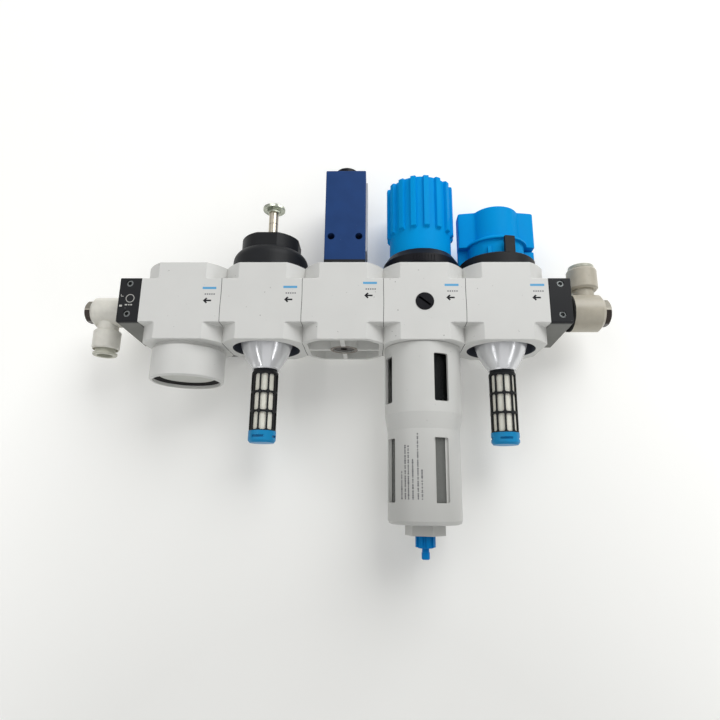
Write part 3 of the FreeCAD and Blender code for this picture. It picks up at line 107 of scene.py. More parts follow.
def finish(name, colour, rough, mottle=0.06, mottle_scale=45, grain_scale=1400, grain=0.05, metallic=0.0,
           specular=0.5, coat=0.0, stretch=(1, 1, 1), specks=0.0, speck_colour=(0.10, 0.09, 0.08), soft=0.0,
           ior=1.5, patch=None, patch_colour=(0, 0, 0)):
    """A moulded, painted or machined finish: tint and roughness drift with a broad noise, the bump follows a
    fine grain whose height is in millimetres, and specks of dirt lie where a third noise peaks. A patch
    function gives a share, by place, of a second colour."""
    material = bpy.data.materials.new(name)
    material.use_nodes = True
    tree = material.node_tree
    shader = tree.nodes["Principled BSDF"]
    where = tree.nodes.new("ShaderNodeTexCoord").outputs["Object"]
    broad = noise(tree, where, mottle_scale, 4.0, stretch)
    fine = noise(tree, where, grain_scale, 2.0, stretch)
    low = [c * (1 - mottle) for c in colour]
    high = [min(1.0, c * (1 + mottle)) for c in colour]
    tint = mix_colours(tree, spread(tree, broad, 0, 1, *MIDDLE_BAND), low, high)
    if specks:
        dots = spread(tree, noise(tree, where, SPECK_SCALE, 1.0), 0, specks, *SPECK_PEAK)
        tint = mix_colours(tree, dots, tint, speck_colour)
    if patch:
        tint = mix_colours(tree, patch(tree, where), tint, patch_colour)
    tree.links.new(tint, shader.inputs["Base Color"])
    polished, dull = max(0.02, rough - ROUGH_SPREAD), rough + ROUGH_SPREAD
    tree.links.new(spread(tree, broad, polished, dull, *MIDDLE_BAND), shader.inputs["Roughness"])
    bump = tree.nodes.new("ShaderNodeBump")
    bump.inputs["Strength"].default_value = 0.6
    bump.inputs["Distance"].default_value = grain * MM
    tree.links.new(fine, bump.inputs["Height"])
    tree.links.new(bump.outputs["Normal"], shader.inputs["Normal"])
    shader.inputs["Metallic"].default_value = metallic
    shader.inputs["Specular IOR Level"].default_value = specular
    shader.inputs["Coat Weight"].default_value = coat
    shader.inputs["Coat Roughness"].default_value = 0.2
    shader.inputs["IOR"].default_value = ior
    if soft:
        shader.inputs["Subsurface Weight"].default_value = soft
        shader.inputs["Subsurface Radius"].default_value = (0.6, 0.5, 0.45)
        shader.inputs["Subsurface Scale"].default_value = 1.0 * MM
    return material


def combine(tree, operation, a, b):
    """A math node on two sockets or numbers."""
    node = tree.nodes.new("ShaderNodeMath")
    node.operation = operation
    for socket, value in zip(node.inputs, (a, b)):
        if isinstance(value, (int, float)):
            socket.default_value = value
        else:
            tree.links.new(value, socket)
    return node.outputs[0]


def split_place(tree, where):
    """The three parts of a place socket."""
    split = tree.nodes.new("ShaderNodeSeparateXYZ")
    tree.links.new(where, split.inputs[0])
    return split.outputs


def shade_toward_foot(tree, where):
    """Painted shade: a darker patch that comes in slowly below the guard's taper."""
    return spread(tree, split_place(tree, where)[2], 1, 0, LINE_Z - 140 * MM, LINE_Z - 70 * MM)


def painted_light_low_bowl(tree, where):
    """Painted light: a lighter patch that comes in slowly down the bowl's lower half, standing in for the lit
    inside of the guard seen through it.
    """
    return spread(tree, split_place(tree, where)[2], 1, 0, LINE_Z - 92 * MM, LINE_Z - 74 * MM)


def round_patch(centre_x, radius, level):
    """A patch inside a circle round a module's upright axis, below a level, all in millimetres from the air
    line's middle."""
    def share(tree, where):
        x, y, z = split_place(tree, where)
        across = combine(tree, "POWER", combine(tree, "SUBTRACT", x, centre_x * MM), 2.0)
        deep = combine(tree, "POWER", combine(tree, "SUBTRACT", y, AXIS_Y), 2.0)
        distance = combine(tree, "SQRT", combine(tree, "ADD", across, deep), 0.0)
        inside = combine(tree, "LESS_THAN", distance, radius * MM)
        below = combine(tree, "LESS_THAN", z, LINE_Z + level * MM)
        return combine(tree, "MULTIPLY", inside, below)
    return share


def dark_reflection_below_line(tree, where):
    """Painted reflection: a dark patch below the row's centre line, standing in for the darker reflection on
    the lower side of round nickel parts.
    """
    return combine(tree, "LESS_THAN", split_place(tree, where)[2], LINE_Z - 0.5 * MM)


def behind_front(tree, where):
    """A patch that starts a little way behind the front face."""
    return spread(tree, split_place(tree, where)[1], 0, 1, FRONT + 2.6 * MM, FRONT + 3.0 * MM)


PAINT = dict(colour=(0.675, 0.677, 0.655), rough=0.38, mottle=0.018, grain_scale=900, grain=0.02, specks=0.5)
# Painted shade: the colour that stands in for the shade inside the recess round an exhaust cone.
PAINTED_RECESS_SHADE = (0.060, 0.068, 0.085)
GREY_PAINT = finish("grey_paint", **PAINT)
# The solenoid and shut-off bodies get painted shade inside the recess round their exhaust cones.
SOLENOID_PAINT = finish("solenoid_paint", patch=round_patch(SOLENOID_X, EXHAUST_R, -10),
                        patch_colour=PAINTED_RECESS_SHADE, **PAINT)
SHUTOFF_PAINT = finish("shutoff_paint", patch=round_patch(SHUTOFF_X, EXHAUST_R, -10),
                       patch_colour=PAINTED_RECESS_SHADE, **PAINT)
BRANCH_PAINT = finish("branch_paint", patch=round_patch(0, 9.62, -27.2), patch_colour=(0.20, 0.17, 0.14),
                      **PAINT)
# The guard's grey gets painted shade, darker towards its foot.
GUARD_GREY = finish("guard_grey", (0.620, 0.623, 0.600), 0.38, mottle=0.015, grain_scale=900, grain=0.02,
                    specks=0.25, patch=shade_toward_foot, patch_colour=(0.48, 0.482, 0.462))
DISC_GREY = finish("disc_grey", (0.56, 0.57, 0.53), 0.5, mottle=0.03, grain_scale=1200, grain=0.02)
BLACKENED = dict(rough=0.46, mottle=0.2, grain_scale=1500, grain=0.03, specks=0.25,
                 speck_colour=(0.3, 0.3, 0.3))
BLACK_METAL = finish("black_metal", (0.014, 0.015, 0.018), specular=0.35, **BLACKENED)
PLATE_METAL = finish("plate_metal", (0.009, 0.0100, 0.012), specular=0.25, patch=behind_front,
                     patch_colour=(0.175, 0.178, 0.165), **BLACKENED)
BLACK_RUBBER = finish("black_rubber", (0.014, 0.014, 0.014), 0.7, mottle=0.2, specular=0.2)
ZINC = finish("zinc_steel", (0.56, 0.59, 0.50), 0.30, mottle=0.1, mottle_scale=220, metallic=1.0, grain=0.015)
STEEL = finish("turned_steel", (0.56, 0.51, 0.42), 0.34, mottle=0.06, metallic=1.0, grain=0.01,
               grain_scale=500, stretch=(1, 1, 12))
SCREW_STEEL = finish("screw_steel", (0.16, 0.17, 0.17), 0.30, mottle=0.2, mottle_scale=300, metallic=1.0,
                     grain=0.02)
# The banjo bolts and plug are painted darker below the line: a painted dark reflection on their lower side.
NICKEL = finish("nickel_brass", (0.36, 0.34, 0.29), 0.34, mottle=0.04, mottle_scale=60, metallic=0.75,
                grain=0.002, patch=dark_reflection_below_line, patch_colour=(0.045, 0.036, 0.032))
MOULDED = dict(rough=0.38, mottle=0.055, mottle_scale=230, grain_scale=1600, grain=0.02, specks=0.6,
               speck_colour=(0.22, 0.19, 0.14), soft=0.1)
PALE_BEIGE = finish("pale_beige_plastic", (0.720, 0.705, 0.640), **MOULDED)
WORN_BEIGE = finish("worn_beige_plastic", (0.475, 0.440, 0.360), **MOULDED)
RING = finish("ring_plastic", (0.50, 0.50, 0.42), 0.33, mottle=0.03, grain_scale=1600, grain=0.015, soft=0.1)
BLACK_PLASTIC = finish("black_plastic", (0.010, 0.011, 0.013), 0.50, mottle=0.18, grain_scale=2200,
                       grain=0.04, specular=0.24)
BLACK_FINE = finish("black_fine_plastic", (0.006, 0.006, 0.009), 0.38, mottle=0.15, grain_scale=2600,
                    grain=0.02, specular=0.16)
GLOSS_GREY = finish("grey_gloss", (0.82, 0.83, 0.85), 0.20, mottle=0.02, grain_scale=700, grain=0.004,
                    metallic=0.45, coat=0.4)
SINTER = finish("white_porous", (0.80, 0.79, 0.70), 0.85, mottle=0.05, mottle_scale=500, grain_scale=2400,
                grain=0.12, soft=0.15)
CAP_BLUE = finish("cap_blue", (0.008, 0.235, 0.500), 0.34, mottle=0.05, grain_scale=1500, grain=0.02,
                  specular=0.2)
BRIGHT_BLUE = finish("bright_blue", (0.000, 0.310, 0.740), 0.50, mottle=0.03, grain_scale=1700, grain=0.02,
                     specular=0.04)
DRAIN_BLUE = finish("drain_blue", (0.000, 0.190, 0.520), 0.36, mottle=0.05, grain_scale=1500, grain=0.02,
                    specular=0.10)
ANODISED = finish("blue_anodised", (0.012, 0.048, 0.170), 0.48, mottle=0.07, mottle_scale=90, metallic=0.15,
                  grain_scale=2500, grain=0.02, specks=0.2, speck_colour=(0.2, 0.25, 0.4), specular=0.18)
COVER = finish("pale_cover", (0.50, 0.51, 0.53), 0.4, mottle=0.03)
# The clear bowl's near-black tint is painted shade for the dark inside seen through it, and its lighter lower
# half is painted light for the lit inside of the guard.
BOWL = finish("clear_bowl", (0.018, 0.020, 0.020), 0.08, mottle=0.03, grain=0.002, ior=1.4, patch=painted_light_low_bowl,
              patch_colour=(0.34, 0.35, 0.33))
BOWL.node_tree.nodes["Principled BSDF"].inputs["Alpha"].default_value = 0.30
BRASS = finish("machined_brass", (0.62, 0.44, 0.17), 0.28, mottle=0.08, metallic=1.0, grain=0.02)
INK = finish("black_ink", (0.012, 0.012, 0.015), 0.5, specular=0.2)
BLUE_INK = finish("blue_ink", (0.10, 0.38, 0.66), 0.5)
GREY_INK = finish("grey_ink", (0.16, 0.16, 0.17), 0.5, specular=0.2)
PALE_INK = finish("pale_ink", (0.50, 0.50, 0.47), 0.5)

COATS = {
    GREY_PAINT: ["soft_start_body", "filter_regulator_body", "soft_start_cup"],
    BRANCH_PAINT: ["branch_body"],
    SOLENOID_PAINT: ["solenoid_valve_body"],
    SHUTOFF_PAINT: ["shutoff_valve_body"],
    GUARD_GREY: ["bowl_guard"],
    DISC_GREY: ["soft_start_end_disc"],
    BLACK_METAL: ["wall_brackets"],
    PLATE_METAL: ["inlet_plate", "outlet_plate"],
    BLACK_RUBBER: ["module_seals", "port_gaskets", "soft_start_end_seal", "diaphragm"],
    ZINC: ["bracket_screws", "coil_nut", "flow_screw", "spring_plate"],
    STEEL: ["armature_tube", "armature", "armature_spring", "soft_start_spring", "solenoid_poppet_spring",
            "main_spring", "valve_spring", "adjusting_spindle", "shutoff_spindle", "switch_piston"],
    SCREW_STEEL: ["plate_screws"],
    NICKEL: ["banjo_bolts", "branch_plug"],
    PALE_BEIGE: ["outlet_elbow"],
    WORN_BEIGE: ["inlet_elbow"],
    RING: ["inlet_release_ring", "outlet_release_ring"],
    BLACK_PLASTIC: ["soft_start_cap", "pilot_cover", "silencer_cages", "switch_base", "baffle",
                    "element_retainer", "index_ring"],
    BLACK_FINE: ["bonnet", "gauge_plug", "switch_connector"],
    GLOSS_GREY: ["exhaust_cones"],
    SINTER: ["silencer_elements", "filter_element"],
    CAP_BLUE: ["silencer_caps"],
    BRIGHT_BLUE: ["pressure_knob", "shutoff_handle"],
    DRAIN_BLUE: ["drain_screw"],
    ANODISED: ["switch_housing"],
    COVER: ["switch_side_cover"],
    BOWL: ["bowl"],
    BRASS: ["soft_start_piston", "solenoid_poppet", "shutoff_poppet", "valve_stem"],
}
for coat, names in COATS.items():
    for name in names:
        mesh = nodes[name].data
        mesh.materials.clear()
        mesh.materials.append(coat)


# ---------------------------------------------------------------- surfaces
def piece(name, points, faces, coat, body, stands_for=(), sharp=35):
    """A mesh piece from vertex and face arrays, smooth where its faces meet at less than sharp degrees."""
    mesh = bpy.data.meshes.new(name)
    mesh.from_pydata(np.asarray(points, float).tolist(), [], [list(map(int, f)) for f in faces])
    mesh.polygons.foreach_set("use_smooth", np.ones(len(mesh.polygons), bool))
    mesh.set_sharp_from_angle(angle=math.radians(sharp))
    mesh.materials.append(coat)
    made = bpy.data.objects.new(name, mesh)
    bpy.context.collection.objects.link(made)
    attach(made, body)
    if stands_for:
        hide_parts(*stands_for)
    return made


def joined(*parts):
    """Several (points, faces) as one, with the face numbers moved on."""
    points, faces, start = [], [], 0
    for p, f in parts:
        points.append(p)
        faces += [[i + start for i in face] for face in f]
        start += len(p)
    return np.concatenate(points), faces


def grid_faces(rows, columns, closed_rows=False):
    """Four-sided faces between a grid's rows, whose ends meet; the last row meets the first if asked."""
    k, j = np.meshgrid(np.arange(rows if closed_rows else rows - 1), np.arange(columns), indexing="ij")
    below, above, beside = k * columns, (k + 1) % rows * columns, (j + 1) % columns
    corners = [below + j, below + beside, above + beside, above + j]
    return np.stack([corner.ravel() for corner in corners], -1).tolist()


def turned_shell(radius, height, centre, flip=False):
    """A closed skin from rings: ring k, point j is at angle 2 pi j / n, at radius[k, j] from the upright axis
    through centre and at height[k, j]. The first and last ring are closed by a fan to their own middles."""
    rings, n = radius.shape
    angle = np.linspace(0, 2 * np.pi, n, endpoint=False)
    grid = np.stack([radius * np.cos(angle), radius * np.sin(angle), height], -1).reshape(-1, 3)
    caps = np.array([[0, 0, height[0].mean()], [0, 0, height[-1].mean()]])
    points = np.concatenate([grid, caps]) * MM + place(*centre)
    faces = grid_faces(rings, n)
    first, last, top = rings * n, rings * n + 1, (rings - 1) * n
    j = np.arange(n)
    faces += np.stack([(j + 1) % n, j, np.full(n, first)], -1).tolist()
    faces += np.stack([top + j, top + (j + 1) % n, np.full(n, last)], -1).tolist()
    if flip:
        faces = [f[::-1] for f in faces]
    return points, faces


def arc(cx, cz, r, start, end, n):
    """n points of a circular arc in the radius-height plane, angles in degrees from the outward direction."""
    a = np.radians(np.linspace(start, end, n))
    return np.stack([cx + r * np.cos(a), cz + r * np.sin(a)], -1)


def smooth_step(x, start, end):
    """0 below start, 1 above end, with a smooth rise between."""
    t = np.clip((x - start) / (end - start), 0, 1)
    return t * t * (3 - 2 * t)


def soft_max(a, b, blend):
    """The larger of two values, with a rounded change from one to the other of about the blend's size."""
    h = np.clip(0.5 + 0.5 * (a - b) / blend, 0, 1)
    return b + (a - b) * h + blend * h * (1 - h)


def outline_slab(outline, y0, y1):
    """A flat plate: an (x, z) outline, anticlockwise seen from the front, from depth y0 (front) to y1."""
    n = len(outline)
    front = np.stack([outline[:, 0], np.full(n, y0), outline[:, 1]], -1)
    back = front + [0, y1 - y0, 0]
    points = np.concatenate([front, back])
    faces = [list(range(n)), list(range(2 * n - 1, n - 1, -1))]
    faces += [[i, i + n, (i + 1) % n + n, (i + 1) % n] for i in range(n)]
    return points, faces


def rounded_block(low, high, r, n=4):
    """A box with rounded edges and corners: a unit sphere's directions, each scaled to r and moved to the
    nearest corner of the box taken in by r."""
    lat = np.radians(np.concatenate([np.linspace(-90, 0, n + 1), np.linspace(0, 90, n + 1)]))
    lon = np.radians(np.concatenate([np.linspace(q, q + 90, n + 1) for q in (0, 90, 180, 270)]))
    la, lo = np.meshgrid(lat, lon, indexing="ij")
    way = np.stack([np.cos(la) * np.cos(lo), np.cos(la) * np.sin(lo), np.sin(la)], -1)
    quarter = np.repeat(np.array([[1, 1], [-1, 1], [-1, -1], [1, -1]]), n + 1, 0)
    upper = np.repeat([-1, 1], n + 1)
    side = np.concatenate([np.broadcast_to(quarter, (len(lat), len(lon), 2)),
                           np.broadcast_to(upper[:, None, None], (len(lat), len(lon), 1))], -1)
    low, high = np.array(low, float), np.array(high, float)
    grid = (low + high) / 2 + side * ((high - low) / 2 - r) + way * r
    rows, n_lon = grid.shape[:2]
    points = grid.reshape(-1, 3)
    faces = grid_faces(rows, n_lon)
    faces += [list(range(n_lon))[::-1], list(range((rows - 1) * n_lon, rows * n_lon))]
    return points * MM + place(0, 0, 0), faces


# ---------------------------------------------------------------- regulator's knob
def regulator_knob():
    """Ribbed knob: at each height the radius is the shell's, plus a rib's height where the angle lies within
    a rib's half-width; the ribs fade in above the plain skirt and are bevelled at the top. The skin goes from
    the top's middle down the outside, round the skirt's lip and up the inside to a flat ceiling."""
    ribs, first_rib = 16, math.radians(6.9 - 90)
    columns = ribs * 32
    foot, rib_foot, top = 36.1, 57.0, 96.7
    shell, wall, rib_high = 22.4, 2.1, 2.2
    edge_r, lip_r, ceiling = 0.8, 0.6, top - 3.6
    crown = [[0.0, top - 1.0], [17.2, top - 1.0]]
    outside = [arc(18.0, top - edge_r, edge_r, 180, 90, 4),
               arc(shell - edge_r, top - edge_r, edge_r, 90, 0, 7),
               np.stack([np.full(30, shell), np.linspace(top - 1.2, rib_foot + 1.6, 30)], -1),
               np.stack([np.full(9, shell), np.linspace(rib_foot + 1.2, rib_foot - 2.0, 9)], -1),
               np.stack([np.full(7, shell), np.linspace(rib_foot - 4, foot + 1, 7)], -1)]
    lip = [arc(shell - lip_r, foot + lip_r, lip_r, 0, -90, 4),
           arc(shell - wall + lip_r, foot + lip_r, lip_r, -90, -180, 4)]
    inside = [[shell - wall, 70.0], [shell - wall, ceiling], [0.0, ceiling]]
    profile = np.concatenate([crown, *outside, *lip, inside])
    angle = np.linspace(0, 2 * np.pi, columns, endpoint=False)
    offset = np.abs(np.mod(angle - first_rib + np.pi / ribs, 2 * np.pi / ribs) - np.pi / ribs) * shell
    across = 1 - smooth_step(offset, 1.65, 2.15)
    z = profile[:, 1]
    bevel = 1 - smooth_step(z, top - 0.5, top + 0.1) * 0.4
    along = smooth_step(z, rib_foot - 1.2, rib_foot + 0.6) * bevel
    ribbed = np.zeros(len(z))
    ribbed[5:-11] = 1                # from the top's outer edge to just above the lip
    radius = profile[:, :1] + rib_high * np.outer(along * ribbed, across)
    height = np.repeat(z[:, None], columns, 1)
    points, faces = turned_shell(radius, height, (REGULATOR_X, 0, 0), flip=True)
    piece("regulator_knob", points, faces, BRIGHT_BLUE, "knob", ["pressure_knob"], 40)


# ---------------------------------------------------------------- shut-off handle
def wing_outline(angle, half_length, root, tip, core):
    """Distance from the axis to the handle's edge, by direction: the larger of a round core and a bar whose
    half-thickness goes from root to tip along its length, with its corners and hollows rounded."""
    c, s = np.abs(np.cos(angle)), np.abs(np.sin(angle))
    slope = (root - tip) / (half_length - core * 0.8)
    side = (root + slope * core * 0.8) / np.maximum(s + slope * c, 1e-6)
    end = half_length / np.maximum(c, 1e-6)
    bar = -soft_max(-side, -end, 1.6)
    return soft_max(bar, np.full_like(bar, core), 1.8)


def shutoff_handle():
    """Two-winged handle: rings of the wing outline from the underside to the top, flared at the foot into a
    round skirt and rounded at the top edge, over a round core, two legs under the wings and a rib."""
    columns, foot, step, top = 900, 36.5, 48.5, 75.9
    half_length, middle_r, core_r = 27.3, 17.0, 20.0
    foot_r, edge_r, speck_r = 0.25, 1.2, 0.5
    angle = np.linspace(0, 2 * np.pi, columns, endpoint=False)
    foot_bend, edge_bend = np.linspace(0.3, np.pi / 2, 3), np.linspace(0, np.pi / 2, 6)
    level = np.concatenate([[step, step], step + foot_r * (1 - np.cos(foot_bend)),
                            np.linspace(step + 0.8, step + 5.5, 12), np.linspace(step + 7, top - 2.2, 8),
                            top - edge_r + edge_r * np.sin(edge_bend), [top, top]])
    inset = np.zeros(len(level))
    inset[2:5] = foot_r * (1 - np.sin(foot_bend))
    inset[-8:-2] = edge_r * (1 - np.cos(edge_bend))
    edge = wing_outline(angle, half_length, 7.4, 5.1, middle_r)
    skirt = 22.2 - 5.6 * smooth_step(level, step + 1.0, step + 5.0)
    radius = soft_max(edge[None, :], skirt[:, None] * np.ones(columns), 0.8) - inset[:, None]
    radius[1], radius[-2] = radius[2], radius[-3]
    radius[0] = radius[-1] = speck_r             # small rings that the end fans close
    upper = turned_shell(radius, np.repeat(level[:, None], columns, 1), (SHUTOFF_X, 0, 0))
    core = np.array([(speck_r, foot), (core_r - 0.5, foot), (core_r, foot + 0.5), (core_r, step + 0.1),
                     (speck_r, step + 0.1)])
    lower = turned_shell(np.repeat(core[:, :1], 128, 1), np.repeat(core[:, 1:], 128, 1), (SHUTOFF_X, 0, 0))
    wing_root, wing_end = 17.0, 27.2
    legs = [rounded_block((SHUTOFF_X - wing_end, -0.25, foot), (SHUTOFF_X - wing_root, 5.1, 48.6), 0.8),
            rounded_block((SHUTOFF_X + wing_root, -3.2, 39.0), (SHUTOFF_X + wing_end, 5.1, 46.2), 0.8),
            rounded_block((SHUTOFF_X + wing_root, 1.0, 45.5), (SHUTOFF_X + wing_end, 5.1, 48.6), 0.4)]
    rib_angle, rib_r = math.radians(-24), 20.4
    rib_x, rib_y = SHUTOFF_X + rib_r * math.sin(rib_angle), -rib_r * math.cos(rib_angle)
    rib = rounded_block((rib_x - 1.4, rib_y - 1.0, foot), (rib_x + 1.4, rib_y + 1.5, 43.0), 0.4)
    points, faces = joined(upper, lower, rib, *legs)
    piece("handle", points, faces, BRIGHT_BLUE, "handle", ["shutoff_handle"], 35)


# ---------------------------------------------------------------- printed marks
def arrow(x, z):
    """A flow arrow that points to the outlet: a thin shaft and two barbs, as one outline."""
    outline = np.array([(-2.9, 0), (-0.8, -2.1), (0.05, -1.35), (-0.75, -0.55), (2.7, -0.55), (2.7, 0.55),
                        (-0.75, 0.55), (0.05, 1.35), (-0.8, 2.1)])
    return outline + [x, z]


def bar(x, z, width, height):
    """A plain printed bar."""
    w, h = width / 2, height / 2
    return np.array([(-w, -h), (w, -h), (w, h), (-w, h)]) + [x, z]


def printed(name, outlines, coat):
    """Marks printed on the modules' front faces: thin plates that stand a little proud of the face and go a
    little way into it."""
    proud, sunk = 0.03, 0.02
    slabs = [outline_slab(outline, -HALF_DEPTH - proud, -HALF_DEPTH + sunk) for outline in outlines]
    points, faces = joined(*slabs)
    piece(name, points * MM + place(0, 0, 0), faces, coat, "line")


def ring_marks(x, z, radius, line, n=40):
    """A printed ring as the outlines of n small four-sided plates between two circles."""
    angle = np.linspace(0, 2 * np.pi, n + 1)
    way = np.stack([np.cos(angle), np.sin(angle)], -1)
    inner, outer = way * (radius - line / 2), way * (radius + line / 2)
    return [np.array([inner[k], outer[k], outer[k + 1], inner[k + 1]]) + [x, z] for k in range(n)]


def front_marks():
    """Each module's flow arrow, with a blue bar and a row of grey dashes above it, and the outlet plate's
    plain ring, corner and bars."""
    places = [(-91.5, -0.6), (-36.5, 0.2), (17.4, 3.1), (72.2, 1.7), (129.2, 1.7)]
    printed("flow_arrows", [arrow(x, z) for x, z in places], INK)
    printed("blue_bars", [bar(x + 0.9, z + 9.0, 9.4, 1.6) for x, z in places], BLUE_INK)
    dashes = [bar(x - 1.6 + 1.5 * k, z + 4.6, 0.9, 0.9) for x, z in places for k in range(5)]
    printed("grey_dashes", dashes, GREY_INK)
    plate = ring_marks(-144.3, 0.9, 2.75, 0.42)
    plate += [bar(x, -3.7, width, 0.9) for x, width in ((-146.6, 1.6), (-144.6, 0.9), (-143.0, 1.1))]
    plate += [bar(-150.2, -4.4, 1.9, 1.3), bar(-149.8, 2.4, 1.8, 0.35), bar(-150.6, 3.2, 0.35, 1.2)]
    printed("plate_marks", plate, PALE_INK)


def guard_print():
    """Six columns of small grey dashes of many lengths, wrapped round the front of the guard's lower part:
    a dash at arc length s and height z goes to angle s / r from the front."""
    rng = np.random.default_rng(5)
    r, foot = 24.3, -129.2
    proud, sunk = 0.025, 0.03
    columns = ((-40.8, -111.8), (-34.6, -93.8), (-29.3, -95.3), (-22.3, -103.5), (-14.4, -87.6),
               (-8.4, -110.2))             # degrees from the front, and height of the top
    slabs = []
    for turn, top in columns:
        s, z = r * math.radians(turn), foot
        while z < top - 1.0:
            long = rng.uniform(0.5, 1.4)
            wide = rng.uniform(0.7, 1.15)
            points, faces = outline_slab(bar(s, z + long / 2, wide, long), r + proud, r - sunk)
            angle, depth, height = points[:, 0] / r, points[:, 1], points[:, 2]
            wrapped = np.stack([depth * np.sin(angle), -depth * np.cos(angle), height], -1)
            slabs.append((wrapped, faces))
            z += long + rng.choice([0.22, 0.22, 0.22, 0.8])
    points, faces = joined(*slabs)
    piece("guard_print", points * MM + place(REGULATOR_X, 0, 0), faces, GREY_INK, "bowl")


# ---------------------------------------------------------------- joints, nut and springs
def joint_path():
    """The outline of a joint between two modules, as (y, z) points about a step apart: a cross whose level
    arm has rounded corners. One quarter is given, and the other three are its mirror images."""
    arm, column, corner, step = 15.7, 15.9, 0.7, 0.8
    bend = arc(-HALF_DEPTH + corner, arm - corner, corner, 180, 90, 5)
    quarter = np.concatenate([[[-HALF_DEPTH, 0]], bend, [[-column, arm], [-column, HALF_DEPTH]]])
    loop = np.concatenate([quarter, [[0, HALF_DEPTH]], (quarter * [-1, 1])[::-1], (quarter * [-1, -1])[1:],
                           [[0, -HALF_DEPTH]], (quarter * [1, -1])[::-1][:-1], quarter[:1]])
    points = []
    for a, b in zip(loop[:-1], loop[1:]):
        n = max(1, int(np.hypot(*(b - a)) / step))
        points.append(a + (b - a) * np.arange(n)[:, None] / n)
    return np.concatenate(points)


def joint_lines():
    """The thin dark edge of the seal in each joint between modules: a ribbon of four corners round the
    joint's outline, a little proud of it, that wanders sideways by a slow wave. The order of its corners
    makes its faces point inwards."""
    path = joint_path()
    n = len(path)
    proud, deep, half_width, wander_by, waves = 0.02, 0.5, 0.17, 0.10, 9
    scale_out, scale_in = 1 + proud / HALF_DEPTH, 1 - deep / HALF_DEPTH
    corners = [(-half_width, scale_in), (half_width, scale_in), (half_width, scale_out),
               (-half_width, scale_out)]
    ribbons = []
    for k in range(4):
        x = (k - 1.5) * MODULE
        wander = wander_by * np.sin(np.linspace(0, 2 * np.pi * waves, n, endpoint=False) + k)
        grid = np.stack([np.stack([x + wander + side, path[:, 0] * size, path[:, 1] * size], -1)
                         for side, size in corners], 1)
        ribbons.append((grid.reshape(-1, 3), grid_faces(n, len(corners), closed_rows=True)))
    points, faces = joined(*ribbons)
    piece("joint_lines", points * MM + place(0, 0, 0), faces, BLACK_RUBBER, "line")


def flange_nut():
    """The coil's nut: a round flange with a fine edge and a hollow under its rim, over a hexagon whose radius
    at angle t is half the width across flats over the cosine of t's distance from the nearest flat. Each
    ring has a round radius, a height and the hexagon's share of its shape."""
    columns, top, bore_r = 288, 84.0, 3.52
    angle = np.linspace(0, 2 * np.pi, columns, endpoint=False)
    nearest = np.mod(angle + np.pi / 6, np.pi / 3) - np.pi / 6
    hexagon = 4.7 / np.cos(nearest)
    bottom = [(bore_r, 79.25, 0), (4.3, 79.25, 0.9)]
    sides = [(0, 79.45, 1), (0, 81.6, 1)]
    under = [(6.9, 81.9, 0), (7.3, 81.75, 0), (7.5, 81.45, 0), (7.95, 81.45, 0)]
    rim = [(8.2, 81.7, 0), (8.2, 83.5, 0), (8.0, 83.85, 0)]
    face = [(7.6, 84.0, 0), (3.6, top, 0), (bore_r, top - 0.2, 0)]
    levels = bottom + sides + under + rim + face
    radius = np.array([hexagon * share + flat * (1 - share) for flat, z, share in levels])
    first_rim = len(bottom + sides + under)
    radius[first_rim:first_rim + len(rim)] += 0.07 * np.cos(72 * angle)
    height = np.repeat(np.array([[z] for flat, z, share in levels]), columns, 1)
    points = np.stack([radius * np.cos(angle), radius * np.sin(angle), height], -1).reshape(-1, 3)
    faces = grid_faces(len(levels), columns, closed_rows=True)
    piece("coil_flange_nut", points * MM + place(SOLENOID_X, 0, 0), faces, ZINC, "line", ["coil_nut"],
          30)


SPRINGS = {                          # joint, its travel, and the level of the spring's fixed end
    "soft_start_spring": ("soft_start_lift", 3.0, 14.0),
    "armature_spring": ("armature_lift", 0.8, 79.0),
    "solenoid_poppet_spring": ("solenoid_poppet_lift", 3.0, 14.0),
    "main_spring": ("spring_plate_travel", 8.0, 19.6),
    "valve_spring": ("valve_stem_travel", 1.5, -14.0),
}


def squash_springs():
    """Each coil spring gets a mesh of its own; its length is not changed."""
    for name, (joint, travel, fixed) in SPRINGS.items():
        spring = nodes[name]
        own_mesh(spring)


squash_springs()
regulator_knob()
shutoff_handle()
front_marks()
guard_print()
joint_lines()
flange_nut()


# ---------------------------------------------------------------- stage, light and camera
def backdrop():
    """A flat pale sheet just behind the unit, from x, z = -side to side, with its normal towards the camera;
    it glows a little more towards its top and its sides. From behind it can't be seen."""
    side, gap = 2.5, 0.0006
    mesh = bpy.data.meshes.new("backdrop")
    corners = [(-side, gap, -side), (side, gap, -side), (side, gap, side), (-side, gap, side)]
    mesh.from_pydata(corners, [], [(0, 1, 2, 3)])
    sheet = bpy.data.objects.new("backdrop", mesh)
    bpy.context.collection.objects.link(sheet)
    coat = finish("backdrop_white", (0.82, 0.82, 0.795), 0.6, mottle=0.01, mottle_scale=4, grain=0.03,
                  grain_scale=400)
    tree = coat.node_tree
    shader = tree.nodes["Principled BSDF"]
    x, y, z = split_place(tree, tree.nodes.new("ShaderNodeTexCoord").outputs["Object"])
    sideways = combine(tree, "MULTIPLY", combine(tree, "POWER", x, 2.0), 3.0)
    slope = combine(tree, "ADD", sideways, z)
    shader.inputs["Emission Color"].default_value = (1.0, 1.0, 0.985, 1)
    tree.links.new(spread(tree, slope, 0.05, 0.27, -0.24, 0.10), shader.inputs["Emission Strength"])
    clear = tree.nodes.new("ShaderNodeBsdfTransparent")
    from_behind = tree.nodes.new("ShaderNodeNewGeometry").outputs["Backfacing"]
    choice = tree.nodes.new("ShaderNodeMixShader")
    tree.links.new(from_behind, choice.inputs["Fac"])
    tree.links.new(shader.outputs["BSDF"], choice.inputs[1])
    tree.links.new(clear.outputs["BSDF"], choice.inputs[2])
    tree.links.new(choice.outputs["Shader"], tree.nodes["Material Output"].inputs["Surface"])
    mesh.materials.append(coat)
    sheet.visible_shadow = False


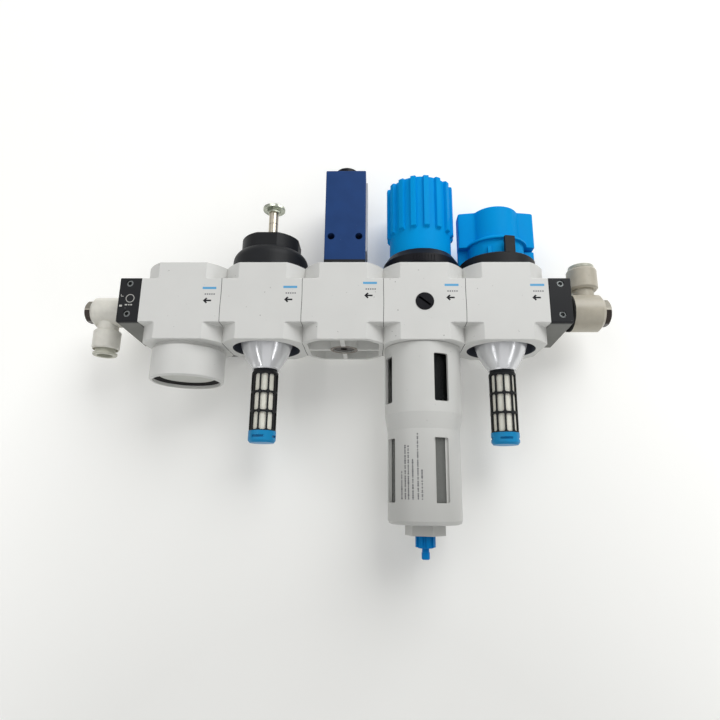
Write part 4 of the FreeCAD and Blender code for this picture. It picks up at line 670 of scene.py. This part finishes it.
def area_light(name, spot, target, size, power, height=None):
    """A soft light at spot that faces target: a square, or a rectangle where a height is given."""
    data = bpy.data.lights.new(name, "AREA")
    data.size, data.energy = size, power
    if height:
        data.shape, data.size_y = "RECTANGLE", height
    light = bpy.data.objects.new(name, data)
    light.location = spot
    light.rotation_mode = "QUATERNION"
    light.rotation_quaternion = (Vector(target) - Vector(spot)).to_track_quat("-Z", "Y")
    bpy.context.collection.objects.link(light)


def camera():
    """The camera, from its tip, turn and roll in degrees and its place."""
    tip, turn, roll = (math.radians(a) for a in (-14.21, -1.61, 0.63))
    spot = (0.0217, FRONT - 0.3406, LINE_Z - 0.1279)
    pose = Matrix.Rotation(roll, 3, "Y") @ Matrix.Rotation(tip, 3, "X") @ Matrix.Rotation(turn, 3, "Z")
    right, ahead, up = pose[0], pose[1], pose[2]
    data = bpy.data.cameras.new("camera")
    data.sensor_width, data.lens, data.clip_start, data.clip_end = 36, 27, 0.01, 20
    eye = bpy.data.objects.new("camera", data)
    rows = [(right[i], up[i], -ahead[i], spot[i]) for i in range(3)]
    eye.matrix_world = Matrix((*rows, (0, 0, 0, 1)))
    bpy.context.collection.objects.link(eye)
    bpy.context.scene.camera = eye


def studio_air():
    """Even white light from all round."""
    world = bpy.data.worlds.new("studio")
    bpy.context.scene.world = world
    world.use_nodes = True
    air = world.node_tree.nodes["Background"]
    air.inputs["Color"].default_value = (1.0, 1.0, 1.0, 1)
    air.inputs["Strength"].default_value = 0.34


backdrop()
MIDDLE, LOW_MIDDLE, LOW_RIGHT = (0, 0, -0.05), (0, 0, -0.07), (0.05, 0, -0.07)
area_light("key", (0.75, -1.15, 1.15), MIDDLE, 1.3, 22)
area_light("fill", (-0.9, -1.2, 0.3), MIDDLE, 1.2, 4.0)
area_light("low", (0.2, -1.0, -1.1), MIDDLE, 1.2, 1.8)
area_light("back", (0.5, 1.2, 0.4), MIDDLE, 1.2, 5)
area_light("strip_left", (-0.50, -0.55, -0.65), LOW_MIDDLE, 0.05, 0.5, height=0.5)
area_light("strip_right", (0.75, -0.55, -0.60), LOW_RIGHT, 0.10, 0.8, height=0.6)
camera()
studio_air()
bpy.context.scene.view_settings.view_transform = "Standard"
